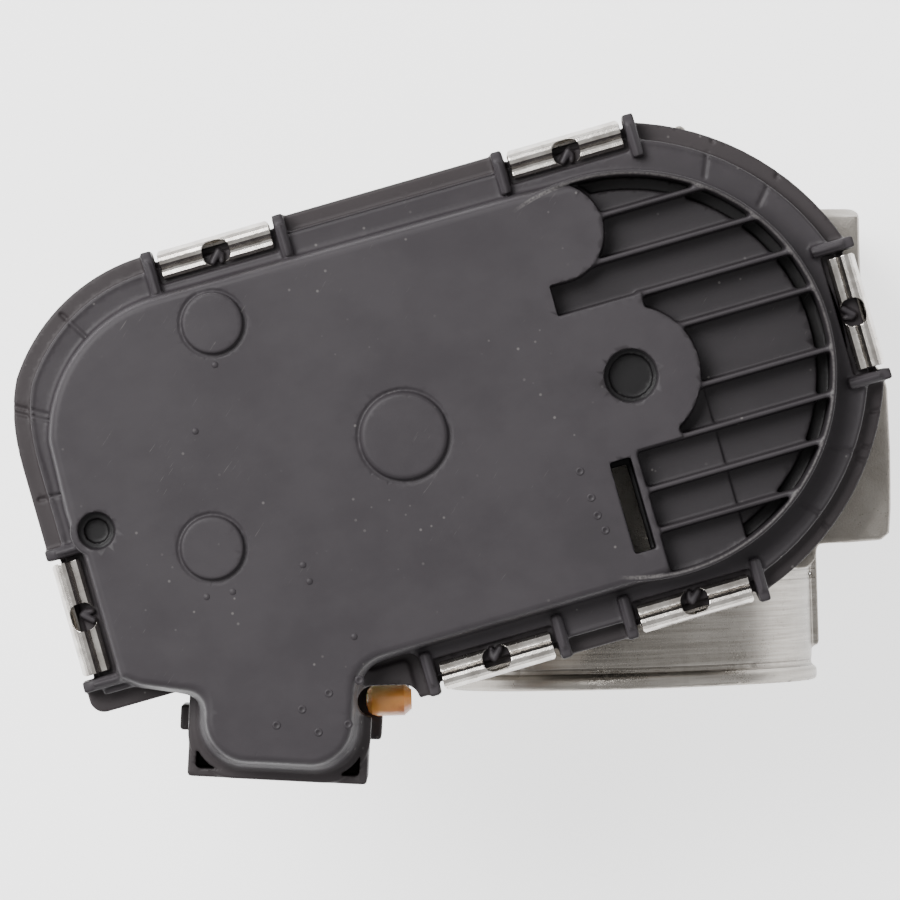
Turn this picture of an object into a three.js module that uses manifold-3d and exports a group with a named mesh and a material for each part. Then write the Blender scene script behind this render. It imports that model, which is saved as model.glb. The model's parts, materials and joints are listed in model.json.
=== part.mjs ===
// Electronic throttle body: cast housing, throttle valve, reduction gears, DC motor and moulded gear cover.
// Millimetres. X runs across the air bore, Y along it towards the manifold, Z along the throttle shaft
// towards the gear cover. Heights (z) in the constants are measured from the bore's axis.
import * as THREE from 'three';
import { mergeVertices } from 'three/addons/utils/BufferGeometryUtils.js';
import Module from 'manifold-3d';

const wasm = await Module();
wasm.setup();

// Air bore and mounting flange
const BORE_RADIUS = 28.5;
const TUBE_RADIUS = 31.8;
const LIP_RADIUS = 32.6;
const LIP_LENGTH = 2.5;
const HOSE_END = -54;
const FLANGE_FACE = 27.6;
const FLANGE_HALF = 39.9;
const FLANGE_THICKNESS = 5.7;
const BOLT = { x: 34, z: 30, radius: 3.3 };
const COLUMN = { inner: 25, outer: 40.4, wide: 44.7, base: -30.2, wideTop: 2 };
const REST_Z = -39;

// Gear chamber, in the gear side's own turned frame
const GEAR_SIDE_TURN = THREE.MathUtils.degToRad(14.3);
const LEFT_EDGE = -103.9;
const TOP_EDGE = 42.6;
const BOTTOM_EDGE = -42.9;
const END_ARC = { x: -2, y: 2.2, radius: 46 };
const FLOOR_UNDER = 36;
const FLOOR_Z = 39;
const RIM_UNDER = 42;
const RIM_Z = 45;
const RIM_INSET = 1.7;
const WALL_INSET = 4.7;
const CHAMBER_INSET = 6.2;

// Gear cover
const COVER_BASE = 45.4;
const BAND_Z = 48.3;
const LEDGE_Z = 51;
const LEDGE_INSET = 2.5;
const PLATEAU_Z = 57;
const CEILING_Z = 54.6;
const RECESS = { radius: 34, floor: 52.4, under: 50.2, wall: 0.8 };
const PLATEAU = { left: -98.2, top: 35.4, bottom: -35, endRadius: 25.3 };
const CONNECTOR = { x: -76.9, y: -49.7, turn: -0.33, halfWidth: 15.35, depth: 11.6, mouth: 24 };

// Spring clips: centre and the direction each one faces, in quarter turns from the right
const CLIPS = [
  { name: 'cover_clip_top_left', x: -62, y: 40.1, facing: 1 },
  { name: 'cover_clip_top_right', x: 0, y: 40.1, facing: 1 },
  { name: 'cover_clip_left', x: -101.2, y: -13.8, facing: 2 },
  { name: 'cover_clip_bottom_left', x: -35.1, y: -40.3, facing: 3 },
  { name: 'cover_clip_bottom_right', x: 0, y: -40.3, facing: 3 },
  { name: 'cover_clip_right', x: 39.9, y: 0, facing: 0 },
];
const CLIP = { length: 19.7, bayHalf: 10.7, lug: 1.9 };

// Gears: module, tooth counts and the directions of their centre lines
const MODULE = 1;
const PRESSURE_ANGLE = THREE.MathUtils.degToRad(25);
const BACKLASH = 0.22;
const TEETH = { sector: 64, small: 16, large: 59, pinion: 12 };
const PIN_DIRECTION = THREE.MathUtils.degToRad(179);
const MOTOR_DIRECTION = THREE.MathUtils.degToRad(164);
const PIN_DISTANCE = (MODULE * (TEETH.sector + TEETH.small)) / 2;
const MOTOR_DISTANCE = (MODULE * (TEETH.large + TEETH.pinion)) / 2;
const PIN = {
  x: PIN_DISTANCE * Math.cos(PIN_DIRECTION),
  y: PIN_DISTANCE * Math.sin(PIN_DIRECTION),
};
const MOTOR = {
  x: PIN.x + MOTOR_DISTANCE * Math.cos(MOTOR_DIRECTION),
  y: PIN.y + MOTOR_DISTANCE * Math.sin(MOTOR_DIRECTION),
};
const MOTOR_ARC = TOP_EDGE - MOTOR.y;

// Throttle valve
const SHAFT_RADIUS = 4;
const SHAFT = { low: -37, high: 49.8 };
const PLATE = { radius: 28.1, thickness: 1.8, angle: THREE.MathUtils.degToRad(6) };
const BEARING = { radius: 7, inner: 29.3, outer: 37 };
const FIT = 0.3;

// DC motor
const CAN = { radius: 17.5, wall: 1.2, low: -14, high: 38.6 };
const EAR = { reach: 21.2, radius: 3.9 };
const POCKET = { radius: 18.2, outer: 20.7, low: -19.5 };

const finish = (color, roughness, metalness) =>
  new THREE.MeshStandardMaterial({ color, roughness, metalness });
const FINISH = {
  castAluminium: finish(0xbdb6ae, 0.45, 0.85),
  blackPlastic: finish(0x423f43, 0.6, 0),
  clipSteel: finish(0xd8d5cf, 0.25, 0.95),
  steel: finish(0xa9abad, 0.35, 0.95),
  brass: finish(0xb89a4e, 0.35, 0.9),
  gearPlastic: finish(0xd9cfae, 0.55, 0),
  rubber: finish(0x1f1f21, 0.85, 0),
  amber: finish(0xd08a3e, 0.25, 0),
  ferrite: finish(0x2e2d30, 0.7, 0.1),
  board: finish(0x2c6b45, 0.5, 0),
};

// Geometry to solid and back
function solid(geometry) {
  geometry.deleteAttribute('normal');
  geometry.deleteAttribute('uv');
  const merged = mergeVertices(geometry, 1e-4);
  return new wasm.Manifold(new wasm.Mesh({
    numProp: 3,
    vertProperties: new Float32Array(merged.attributes.position.array),
    triVerts: new Uint32Array(merged.index.array),
  }));
}

function joined(solids) {
  return solids.reduce((whole, piece) => whole.add(piece));
}

function cut(body, solids) {
  return solids.reduce((left, piece) => left.subtract(piece), body);
}

function part(name, body, material) {
  const { vertProperties, triVerts } = body.getMesh();
  const geometry = new THREE.BufferGeometry();
  geometry.setAttribute('position', new THREE.BufferAttribute(vertProperties, 3));
  geometry.setIndex(new THREE.BufferAttribute(triVerts, 1));
  geometry.computeVertexNormals();
  const mesh = new THREE.Mesh(geometry, material);
  mesh.name = name;
  return mesh;
}

// Basic solids
function box([x0, x1], [y0, y1], [z0, z1]) {
  const geometry = new THREE.BoxGeometry(x1 - x0, y1 - y0, z1 - z0);
  geometry.translate((x0 + x1) / 2, (y0 + y1) / 2, (z0 + z1) / 2);
  return geometry;
}

function rod(radius, [z0, z1], x = 0, y = 0, sides = 32) {
  const geometry = new THREE.CylinderGeometry(radius, radius, z1 - z0, sides);
  return geometry.rotateX(Math.PI / 2).translate(x, y, (z0 + z1) / 2);
}

function rodAlongY(radius, [y0, y1], x = 0, z = 0, sides = 24) {
  return new THREE.CylinderGeometry(radius, radius, y1 - y0, sides).translate(x, (y0 + y1) / 2, z);
}

function slab(shape, [z0, z1], curveSegments = 12) {
  const settings = { depth: z1 - z0, bevelEnabled: false, curveSegments };
  return new THREE.ExtrudeGeometry(shape, settings).translate(0, 0, z0);
}

// Stands a section up so that its x runs outwards along Y and its y upwards, drawn out along X
function standing(geometry) {
  const [x, y, z] = [[1, 0, 0], [0, 1, 0], [0, 0, 1]].map((axis) => new THREE.Vector3(...axis));
  return geometry.applyMatrix4(new THREE.Matrix4().makeBasis(y, z, x));
}

function polygon(points) {
  return new THREE.Shape(points.map(([x, y]) => new THREE.Vector2(x, y)));
}

// A ring about Z with a rectangular section
function ring(inner, outer, [z0, z1], sides = 32) {
  const section = [[inner, z0], [outer, z0], [outer, z1], [inner, z1], [inner, z0]];
  return turned(section, sides);
}

// A body of revolution about Z: radius and height pairs, up the outside
function turned(profile, sides = 32) {
  const points = profile.map(([radius, height]) => new THREE.Vector2(radius, height));
  return new THREE.LatheGeometry(points, sides).rotateX(Math.PI / 2);
}

function arcPoints(x, y, radius, from, to, steps) {
  const points = [];
  for (let i = 0; i <= steps; i += 1) {
    const angle = from + ((to - from) * i) / steps;
    points.push([x + radius * Math.cos(angle), y + radius * Math.sin(angle)]);
  }
  return points;
}

// Moves every edge of a counterclockwise outline inwards by a distance
function insetPoints(points, distance) {
  const edges = points.map(([x0, y0], i) => {
    const [x1, y1] = points[(i + 1) % points.length];
    const length = Math.hypot(x1 - x0, y1 - y0);
    const [dx, dy] = [(x1 - x0) / length, (y1 - y0) / length];
    return { x: x0 - dy * distance, y: y0 + dx * distance, dx, dy };
  });
  return edges.map((edge, i) => {
    const before = edges[(i + edges.length - 1) % edges.length];
    const cross = before.dx * edge.dy - before.dy * edge.dx;
    const along = ((edge.x - before.x) * edge.dy - (edge.y - before.y) * edge.dx) / cross;
    return [before.x + before.dx * along, before.y + before.dy * along];
  });
}

// Outline of the gear chamber: a large arc about the throttle shaft's end, an arc about the motor,
// and a cut-back lower left side that leaves room for the connector
function chamberPoints() {
  const lowStart = Math.asin((BOTTOM_EDGE - END_ARC.y) / END_ARC.radius);
  const topEnd = Math.asin((TOP_EDGE + END_ARC.y) / END_ARC.radius);
  const middle = Math.asin(END_ARC.y / END_ARC.radius);
  const leftAngle = Math.PI - Math.acos((MOTOR.x - LEFT_EDGE) / MOTOR_ARC);
  return [
    [-50.4, BOTTOM_EDGE],
    ...arcPoints(END_ARC.x, END_ARC.y, END_ARC.radius, lowStart, -middle, 9),
    ...arcPoints(END_ARC.x, -END_ARC.y, END_ARC.radius, middle, topEnd, 9).slice(1),
    ...arcPoints(MOTOR.x, MOTOR.y, MOTOR_ARC, Math.PI / 2, leftAngle, 9),
    [LEFT_EDGE, -30.5],
    [-88.5, -30.5],
    [-57, -37.6],
    [-50.4, -37.6],
  ];
}
const CHAMBER = chamberPoints();
const chamberSlab = (inset, heights) => slab(polygon(insetPoints(CHAMBER, inset)), heights);

// A solid drawn on the gear side, brought into the part's frame
const onGearSide = (geometry) => solid(geometry.rotateZ(GEAR_SIDE_TURN));

// Housing: bore tube, flange, bolt columns, gear chamber, motor pocket and shaft bosses
function boreTube() {
  const lipStart = HOSE_END + LIP_LENGTH;
  const profile = [
    [0, HOSE_END], [LIP_RADIUS - 0.9, HOSE_END], [LIP_RADIUS, HOSE_END + 0.9],
    [LIP_RADIUS, lipStart - 0.6], [TUBE_RADIUS, lipStart], [TUBE_RADIUS, FLANGE_FACE], [0, FLANGE_FACE],
  ];
  return solid(new THREE.LatheGeometry(profile.map(([r, y]) => new THREE.Vector2(r, y)), 56));
}

function flangePlate() {
  const corner = 8;
  const top = FLOOR_UNDER;
  const shape = new THREE.Shape();
  const arcs = [
    [FLANGE_HALF - corner, REST_Z + corner, -Math.PI / 2], [FLANGE_HALF - corner, top - corner, 0],
    [corner - FLANGE_HALF, top - corner, Math.PI / 2], [corner - FLANGE_HALF, REST_Z + corner, Math.PI],
  ];
  arcs.forEach(([x, y, from]) => shape.absarc(x, y, corner, from, from + Math.PI / 2));
  const plate = slab(shape, [-FLANGE_FACE, FLANGE_THICKNESS - FLANGE_FACE], 6);
  return solid(plate.rotateX(Math.PI / 2));
}

function boltColumn(side, [z0, z1]) {
  const across = (low, high) => (side > 0 ? [low, high] : [-high, -low]);
  const upper = box(across(COLUMN.inner, COLUMN.outer), [COLUMN.base + 1, FLANGE_FACE - 1], [z0, z1]);
  const step = [COLUMN.base, COLUMN.wideTop];
  const wide = polygon([
    [COLUMN.inner, step[0]], [COLUMN.wide - 2, step[0] + 0.8], [COLUMN.wide - 0.4, step[0] + 2.4],
    [COLUMN.wide, step[1] - 3], [COLUMN.outer, step[1]], [COLUMN.inner, step[1]],
  ]);
  const pad = slab(wide, [z0, z1]);
  if (side < 0) pad.rotateY(Math.PI).translate(0, 0, z0 + z1);
  return solid(upper).add(solid(pad));
}

function chamberShell() {
  const shell = chamberSlab(WALL_INSET, [FLOOR_UNDER, RIM_Z]);
  const rim = chamberSlab(RIM_INSET, [RIM_UNDER, RIM_Z]);
  return onGearSide(shell).add(onGearSide(rim));
}

function gasketGroove() {
  const outer = onGearSide(chamberSlab(3.2, [RIM_Z - 1, RIM_Z + 1]));
  return outer.subtract(onGearSide(chamberSlab(4.6, [RIM_Z - 2, RIM_Z + 2])));
}

function housing() {
  const lowColumn = [REST_Z, -20];
  const highColumn = [20, 37.5];
  const body = joined([
    boreTube(),
    flangePlate(),
    boltColumn(1, lowColumn), boltColumn(-1, lowColumn), boltColumn(1, highColumn), boltColumn(-1, highColumn),
    solid(rod(11, [REST_Z, -26])),
    solid(rod(12, [26, FLOOR_Z])),
    chamberShell(),
    onGearSide(rod(POCKET.outer, [POCKET.low, FLOOR_Z], MOTOR.x, MOTOR.y, 36)),
    onGearSide(rod(7, [28.5, FLOOR_Z], PIN.x, PIN.y)),
    onGearSide(box([-60, -24], [2, 6], [-12, FLOOR_UNDER + 1])),
    onGearSide(box([-60, -24], [-12, -8], [8, FLOOR_UNDER + 1])),
  ]);
  const chamber = cut(onGearSide(chamberSlab(CHAMBER_INSET, [FLOOR_Z, RIM_Z + 1])), [
    solid(ring(BEARING.radius + FIT, 9.4, [FLOOR_Z - 1, FLOOR_Z + 0.6])),
    onGearSide(rod(4.5, [FLOOR_Z - 1, 40.8], PIN.x, PIN.y)),
    onGearSide(rod(2.5, [FLOOR_Z - 1, 47], ...polar(24, 278.5))),
  ]);
  const bolts = [-1, 1].flatMap((side) => [-1, 1].map((level) =>
    solid(rodAlongY(BOLT.radius, [-40, 40], side * BOLT.x, level * BOLT.z))));
  const hollow = cut(body, [
    chamber,
    solid(rodAlongY(BORE_RADIUS, [-60, 40], 0, 0, 56)),
    ...bolts,
    gasketGroove(),
    solid(rod(SHAFT_RADIUS + FIT, [-40, 45])),
    solid(rod(BEARING.radius + FIT, [BEARING.inner - FIT, FLOOR_Z + 2])),
    solid(rod(BEARING.radius + FIT, [REST_Z - 1, FIT - BEARING.inner])),
    onGearSide(rod(POCKET.radius, [-17, FLOOR_Z + 2], MOTOR.x, MOTOR.y, 36)),
    onGearSide(rod(2.3, [31, 42], PIN.x, PIN.y, 20)),
    onGearSide(rod(STOP.radius + FIT, [33, 42], STOP.x, STOP.y, 16)),
    ...motorScrewPlaces().map(([x, y]) => onGearSide(rod(1.8, [33, FLOOR_Z + 1], x, y, 16))),
    sealGroove(),
    ...rimBays(),
  ]);
  return part('throttle_housing', hollow.add(ventPost()), FINISH.castAluminium);
}

function polar(radius, degrees) {
  const angle = THREE.MathUtils.degToRad(degrees);
  return [radius * Math.cos(angle), radius * Math.sin(angle)];
}

// Vent on the chamber's lower corner, with its cap lying across it
const VENT = { x: -42.8, y: -54.2, z: 41, radius: 2.8, length: 7.8 };

function ventPost() {
  const post = rodAlongY(1.5, [-42.6, -32], -54.9, VENT.z, 16);
  return onGearSide(post);
}

function ventCap() {
  const half = VENT.length / 2;
  const profile = [[0, -half]];
  arcPoints(VENT.radius - 2, 2 - half, 2, -Math.PI / 2, 0, 5).forEach((point) => profile.push(point));
  profile.push([VENT.radius, half - 1.2], [VENT.radius - 1, half], [0, half]);
  const cap = turned(profile, 20).rotateY(Math.PI / 2).translate(VENT.x, VENT.y, VENT.z);
  const socket = onGearSide(rodAlongY(1.8, [-42.9, -36], -54.9, VENT.z, 16));
  return part('vent_cap', solid(cap).subtract(socket), FINISH.amber);
}

// Seal ring in the face of the manifold flange
const SEAL = { radius: 35.6, wire: 1.25, width: 1.55, depth: 2.2 };

function sealGroove() {
  const outer = rodAlongY(SEAL.radius + SEAL.width, [FLANGE_FACE - SEAL.depth, 40], 0, 0, 40);
  const inner = rodAlongY(SEAL.radius - SEAL.width, [FLANGE_FACE - 4, 41], 0, 0, 40);
  return solid(outer).subtract(solid(inner));
}

function flangeSeal() {
  const centre = FLANGE_FACE - SEAL.depth + FIT + SEAL.wire;
  const torus = new THREE.TorusGeometry(SEAL.radius, SEAL.wire, 6, 40);
  return part('flange_seal', solid(torus.rotateX(Math.PI / 2).translate(0, centre, 0)), FINISH.rubber);
}

// Closing stop: a set screw standing in the chamber floor
const STOP = { radius: 2 };
[STOP.x, STOP.y] = polar(20, 80.5);

function stopScrew() {
  const socket = rod(0.9, [45.5, 50], STOP.x, STOP.y, 6);
  const screw = solid(rod(STOP.radius, [33.4, 47], STOP.x, STOP.y, 20));
  return part('closing_stop_screw', screw.subtract(solid(socket)), FINISH.steel);
}

function coverGasket() {
  const outer = solid(chamberSlab(3.45, [RIM_Z - 0.7, RIM_Z + 0.1]));
  const inner = solid(chamberSlab(4.35, [RIM_Z - 2, RIM_Z + 2]));
  return part('cover_gasket', outer.subtract(inner), FINISH.rubber);
}

// Gear cover
function plateauShape(inset) {
  const { left, top, bottom, endRadius } = PLATEAU;
  const rimRadius = RECESS.radius + RECESS.wall;
  const points = [
    ...arcPoints(0, 0, rimRadius, -Math.PI / 2, Math.PI / 2, 24),
    [-10, top],
    ...arcPoints(MOTOR.x, MOTOR.y, endRadius, Math.PI / 2, Math.PI - 0.25, 10),
    [left, MOTOR.y],
    [left, -25.5],
    [-86, -29.8],
    [-60, bottom],
  ];
  return polygon(insetPoints(points, inset));
}

// Rounded block in the connector's frame, open towards the cover
function neckShape(halfWidth, base, corner, top) {
  const shape = new THREE.Shape();
  shape.moveTo(-halfWidth, top);
  shape.absarc(corner - halfWidth, base + corner, corner, Math.PI, 1.5 * Math.PI);
  shape.absarc(halfWidth - corner, base + corner, corner, 1.5 * Math.PI, 2 * Math.PI);
  shape.lineTo(halfWidth, top);
  return shape;
}

const atConnector = (geometry) =>
  solid(geometry.rotateZ(CONNECTOR.turn).translate(CONNECTOR.x, CONNECTOR.y, 0));

// The open area beside the shaft: a disc less the raised part of the cover
function recess(grow, heights) {
  const disc = solid(rod(RECESS.radius + grow, heights, 0, 0, 48));
  const kept = [
    box([-40, -5.9 - grow], [18.3 + grow, 40], heights),
    box([-40, -9 - grow], [0, 19 + grow], heights),
    box([-40, 5.6 - grow], [-12.4 + grow, 13.2 - grow], heights),
    box([-40, -2.5 - grow], [-40, -12 + grow], heights),
    rod(8.6 - grow, heights, -5.9, 26.8, 24),
    rod(12 - grow, heights, 0, 0, 32),
  ];
  const slot = box([-7.6 - grow, -3.9 + grow], [-29.3 - grow, -13.2 + grow], heights);
  return cut(disc, kept.map(solid)).add(solid(slot));
}

// Each rib's place and where it leaves the raised part of the cover
const RIBS = [
  [27.5, 2], [20.1, -1.2], [12.9, 4.8], [5.9, 9.8], [-4.8, 10.4], [-12.3, -3], [-19.5, -3], [-26.6, -3],
];

function recessRibs() {
  const rib = { half: 0.55, top: PLATEAU_Z - 0.5, low: RECESS.floor - 0.5 };
  return RIBS.map(([y, start]) => {
    const reach = Math.sqrt((RECESS.radius + 0.4) ** 2 - y ** 2);
    return solid(box([start, reach], [y - rib.half, y + rib.half], [rib.low, rib.top]));
  });
}

// A piece drawn beside a clip, x along its length and y outwards, turned to face its side
function beside(clip, geometry) {
  return geometry.rotateZ(((clip.facing - 1) * Math.PI) / 2).translate(clip.x, clip.y, 0);
}

// Room for the clips: through the rim of the housing, and down to a seat on the cover
const rimBays = () => CLIPS.map((clip) =>
  onGearSide(beside(clip, box([-11, 11], [1.1, 8], [FLOOR_Z + 0.5, RIM_Z + 1]))));

function clipBays() {
  const bay = [-CLIP.bayHalf, CLIP.bayHalf];
  return CLIPS.flatMap((clip) => [
    solid(beside(clip, box(bay, [0.9, 8], [COVER_BASE - 1, PLATEAU_Z]))),
    solid(beside(clip, box(bay, [-3.2, 1.5], [49.6, PLATEAU_Z - 0.01]))),
  ]);
}

function clipLugs() {
  return CLIPS.flatMap((clip) => [-1, 1].map((side) => {
    const middle = side * (CLIP.bayHalf + CLIP.lug / 2);
    const across = [middle - CLIP.lug / 2, middle + CLIP.lug / 2];
    return solid(beside(clip, box(across, [-4.4, 2.9], [COVER_BASE, 52.6])));
  }));
}

function connectorBody() {
  const { halfWidth, depth, mouth } = CONNECTOR;
  const wall = 1.4;
  const shroud = box([-halfWidth, halfWidth], [0, depth], [mouth, 47.5]);
  const inside = box([wall - halfWidth, halfWidth - wall], [wall, depth - wall], [mouth - 1, 48]);
  const latches = [-1, 1].map((side) => atConnector(
    box([side * halfWidth - 2, side * halfWidth + 2], [7.4, 11.8], [mouth + 2, 37.5])));
  return cut(atConnector(shroud).add(joined(latches)), [atConnector(inside)]).add(
    joined([
      atConnector(slab(neckShape(halfWidth + 0.25, 0, 8, 13), [44.4, 49])),
      atConnector(slab(neckShape(halfWidth + 0.25, 0, 8, 24), [COVER_BASE, 49])),
      atConnector(slab(neckShape(13.2, 3, 8.5, 26), [48, 53])),
      atConnector(slab(neckShape(12.2, 4.2, 7.5, 26), [52, PLATEAU_Z])),
    ]));
}

const TERMINALS = [-9.5, -5.7, -1.9, 1.9, 5.7, 9.5];

function gearCover() {
  const outer = joined([
    solid(chamberSlab(0, [COVER_BASE, BAND_Z])),
    solid(chamberSlab(LEDGE_INSET, [COVER_BASE, LEDGE_Z])),
    solid(slab(plateauShape(-0.9), [LEDGE_Z - 1, 52.6])),
    solid(slab(plateauShape(0), [LEDGE_Z - 1, PLATEAU_Z - 0.8])),
    solid(slab(plateauShape(0.7), [LEDGE_Z - 1, PLATEAU_Z])),
    connectorBody(),
  ]);
  const inner = joined([
    solid(chamberSlab(CHAMBER_INSET + 0.3, [COVER_BASE - 1, RECESS.under])),
    cut(solid(slab(plateauShape(2.6), [COVER_BASE - 1, CEILING_Z])), [recess(2.2, [RECESS.under, 60])]),
    atConnector(box([-10.5, 10.5], [4.6, 24], [46.4, 48.2])),
    atConnector(slab(neckShape(10.2, 7.5, 4.5, 24), [48, CEILING_Z])),
  ]);
  const seat = solid(rod(4.8, [49, CEILING_Z + 0.5], -94.4, -0.3, 20));
  const opened = cut(outer, [
    ...clipBays(),
    inner.subtract(seat),
    recess(0, [RECESS.floor, 60]),
    solid(rod(4.6, [55.4, 60])),
    solid(rod(3.2, [54.4, 60], -94.4, -0.3)),
    solid(rod(2, [51.5, 60], -94.4, -0.3, 20)),
    solid(rod(4.9, [COVER_BASE - 1, LEDGE_Z + 1], -55, -43.6)),
    ...TERMINALS.map((x) => atConnector(box([x - 0.7, x + 0.7], [4.8, 7.4], [43, 47]))),
  ]);
  const whole = joined([
    opened,
    ...clipLugs(),
    ...recessRibs(),
    solid(rod(5.2, [PLATEAU_Z - 1, PLATEAU_Z + 0.4], -65.8, 28.1, 24)),
    solid(rod(5.4, [PLATEAU_Z - 1, PLATEAU_Z + 0.4], -76.3, -8.5, 24)),
    solid(rod(6.8, [PLATEAU_Z - 1, PLATEAU_Z + 0.4], -39.8, 0.8, 28)),
  ]);
  return part('gear_cover', whole, FINISH.blackPlastic);
}

// Six blades, each with a pointed end and bent over above the socket's floor
function terminal(x, index) {
  const outline = [
    [5.1, 33.8], [5.6, 33], [6.6, 33], [7.1, 33.8], [7.1, 46.8], [17, 46.8], [17, 47.6], [5.1, 47.6],
  ];
  const blade = standing(slab(polygon(outline), [-0.4, 0.4])).translate(x, 0, 0);
  return part(`terminal_${index + 1}`, solid(blade), FINISH.brass);
}

// Spring clips: a C-shaped section rolled over the cover's edge and hooked under the housing's rim
function clipSection() {
  const outside = [
    [-2.5, 50.2], [-2.3, 51], [-1.75, 51.45], [-1.15, 51.1], [-0.75, 51.2], [-0.2, 52],
    [0.7, 52.45], [1.5, 52.1], [2.15, 51.2], [2.5, 50], [2.5, 41], [2.1, 40.3], [0.2, 40.3], [-0.2, 40.8],
  ];
  const inside = [
    [0, 41.2], [0.4, 40.9], [1.6, 40.9], [1.9, 41.2], [1.9, 49.8], [1.5, 50.9], [0.7, 51.85],
    [0.1, 51.5], [-0.4, 50.7], [-1.15, 50.5], [-1.7, 50.8], [-1.95, 50.2],
  ];
  return polygon([...outside, ...inside].reverse());
}

function coverClip(clip) {
  const half = CLIP.length / 2;
  const strip = standing(slab(clipSection(), [-half, half]));
  const hole = new THREE.CylinderGeometry(2.1, 2.1, 6, 14).rotateX(Math.PI / 2).translate(0, -0.32, 52);
  const spring = solid(beside(clip, strip)).subtract(solid(beside(clip, hole)));
  return part(clip.name, spring, FINISH.clipSteel);
}

// Throttle valve
function throttleShaft() {
  const slot = box([-6, 6], [-PLATE.thickness / 2 - FIT, PLATE.thickness / 2 + FIT], [-28.45, 28.45]);
  const cuts = [slot];
  SCREW.heights.forEach((z) => {
    cuts.push(rodAlongY(SCREW.radius + FIT, [-6, 6], 0, z, 16));
    cuts.push(rodAlongY(SCREW.head + FIT, [2.7, 6], 0, z, 20));
  });
  const flats = [1, -1].map((side) => box([-6, 6], [side * 5.1 - 2, side * 5.1 + 2], [41, 60]));
  const shaft = solid(rod(SHAFT_RADIUS, [SHAFT.low, SHAFT.high], 0, 0, 28));
  const body = cut(shaft, [...cuts.map((geometry) => solid(geometry.rotateZ(PLATE.angle))),
    ...flats.map((geometry) => solid(geometry))]);
  return part('throttle_shaft', body, FINISH.steel);
}

const SCREW = { radius: 1.5, head: 2.5, heights: [-13, 13] };

function throttlePlate() {
  const disc = rodAlongY(PLATE.radius, [-PLATE.thickness / 2, PLATE.thickness / 2], 0, 0, 56);
  const holes = SCREW.heights.map((z) => solid(
    rodAlongY(SCREW.radius + FIT, [-2, 2], 0, z, 16).rotateZ(PLATE.angle)));
  return part('throttle_plate', cut(solid(disc.rotateZ(PLATE.angle)), holes), FINISH.brass);
}

function plateScrew(z, index) {
  const shank = rodAlongY(SCREW.radius, [-3.7, 3.2], 0, z, 16);
  const head = rodAlongY(SCREW.head, [3, 4.4], 0, z, 20);
  const drive = box([-1.6, 1.6], [3.7, 5], [z - 0.25, z + 0.25]);
  const screw = solid(shank.rotateZ(PLATE.angle)).add(solid(head.rotateZ(PLATE.angle)));
  return part(`plate_screw_${index + 1}`, screw.subtract(solid(drive.rotateZ(PLATE.angle))), FINISH.steel);
}

// Involute outline with the middle of a tooth, or of a gap, pointing at an angle
function gearPoints(teeth, facing, toothAtFacing = true, count = teeth) {
  const pitch = (MODULE * teeth) / 2;
  const base = pitch * Math.cos(PRESSURE_ANGLE);
  const ends = [pitch - 1.15 * MODULE, pitch + 0.85 * MODULE];
  const radii = teeth > 40 ? ends : [ends[0], pitch, ends[1]];
  const involute = (angle) => Math.tan(angle) - angle;
  const half = (MODULE * Math.PI / 2 - BACKLASH) / (2 * pitch) + involute(PRESSURE_ANGLE);
  const flank = (radius) => half - involute(Math.acos(Math.min(1, base / Math.max(radius, base))));
  const step = (2 * Math.PI) / teeth;
  const first = facing + (toothAtFacing ? 0 : step / 2);
  const points = [];
  for (let i = 0; i < count; i += 1) {
    const centre = first + i * step;
    radii.forEach((radius) => points.push([radius, centre - flank(radius)]));
    [...radii].reverse().forEach((radius) => points.push([radius, centre + flank(radius)]));
  }
  return points.map(([radius, angle]) => [radius * Math.cos(angle), radius * Math.sin(angle)]);
}

function gear(teeth, facing, heights, { x = 0, y = 0, toothAtFacing = true } = {}) {
  return solid(slab(polygon(gearPoints(teeth, facing, toothAtFacing)), heights).translate(x, y, 0));
}

function throttleGear() {
  const step = (2 * Math.PI) / TEETH.sector;
  const heights = [43.6, 48.4];
  const count = 18;
  const below = 3;
  const start = PIN_DIRECTION + step * (below - count);
  const teeth = gearPoints(TEETH.sector, start, false, count);
  const web = [[0, 0], ...teeth];
  const sector = cut(solid(slab(polygon(web), heights)), [0.22, 0.5, 0.78].map((share) => {
    const angle = start + step * count * share;
    return solid(rod(4.2, [40, 50], 20 * Math.cos(angle), 20 * Math.sin(angle), 12));
  }));
  const hub = solid(rod(8.5, [40.2, 50]));
  const bore = solid(rod(SHAFT_RADIUS + FIT, [39, 51], 0, 0, 28));
  return part('throttle_gear', sector.add(hub).subtract(bore), FINISH.gearPlastic);
}

function intermediateGear() {
  const small = gear(TEETH.small, PIN_DIRECTION - Math.PI, [41.2, 50], PIN);
  const large = gear(TEETH.large, MOTOR_DIRECTION, [49.6, 53.4], PIN);
  const bore = solid(rod(2.3, [40, 56], PIN.x, PIN.y, 20));
  const windows = [0, 1, 2, 3, 4].map((i) => {
    const [dx, dy] = polar(19.5, 72 * i);
    return solid(rod(5.4, [40, 56], PIN.x + dx, PIN.y + dy, 12));
  });
  return part('intermediate_gear', cut(small.add(large), [bore, ...windows]), FINISH.gearPlastic);
}

function intermediatePin() {
  return part('intermediate_pin', solid(rod(2, [31.4, 54.2], PIN.x, PIN.y, 20)), FINISH.steel);
}

function returnSpring() {
  const spring = { radius: 11.6, wire: 0.5, turns: 2.75, low: 39.95, pitch: 1.08 };
  const path = new (class extends THREE.Curve {
    getPoint(t) {
      const angle = t * spring.turns * 2 * Math.PI;
      const z = spring.low + spring.pitch * spring.turns * t;
      return new THREE.Vector3(spring.radius * Math.cos(angle), spring.radius * Math.sin(angle), z);
    }
  })();
  const section = polygon(arcPoints(0, 0, spring.wire, 0, 2 * Math.PI, 6).slice(0, 6));
  const steps = Math.round(spring.turns * 16);
  const wire = new THREE.ExtrudeGeometry(section, { steps, bevelEnabled: false, extrudePath: path });
  return part('return_spring', solid(wire), FINISH.steel);
}

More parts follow.
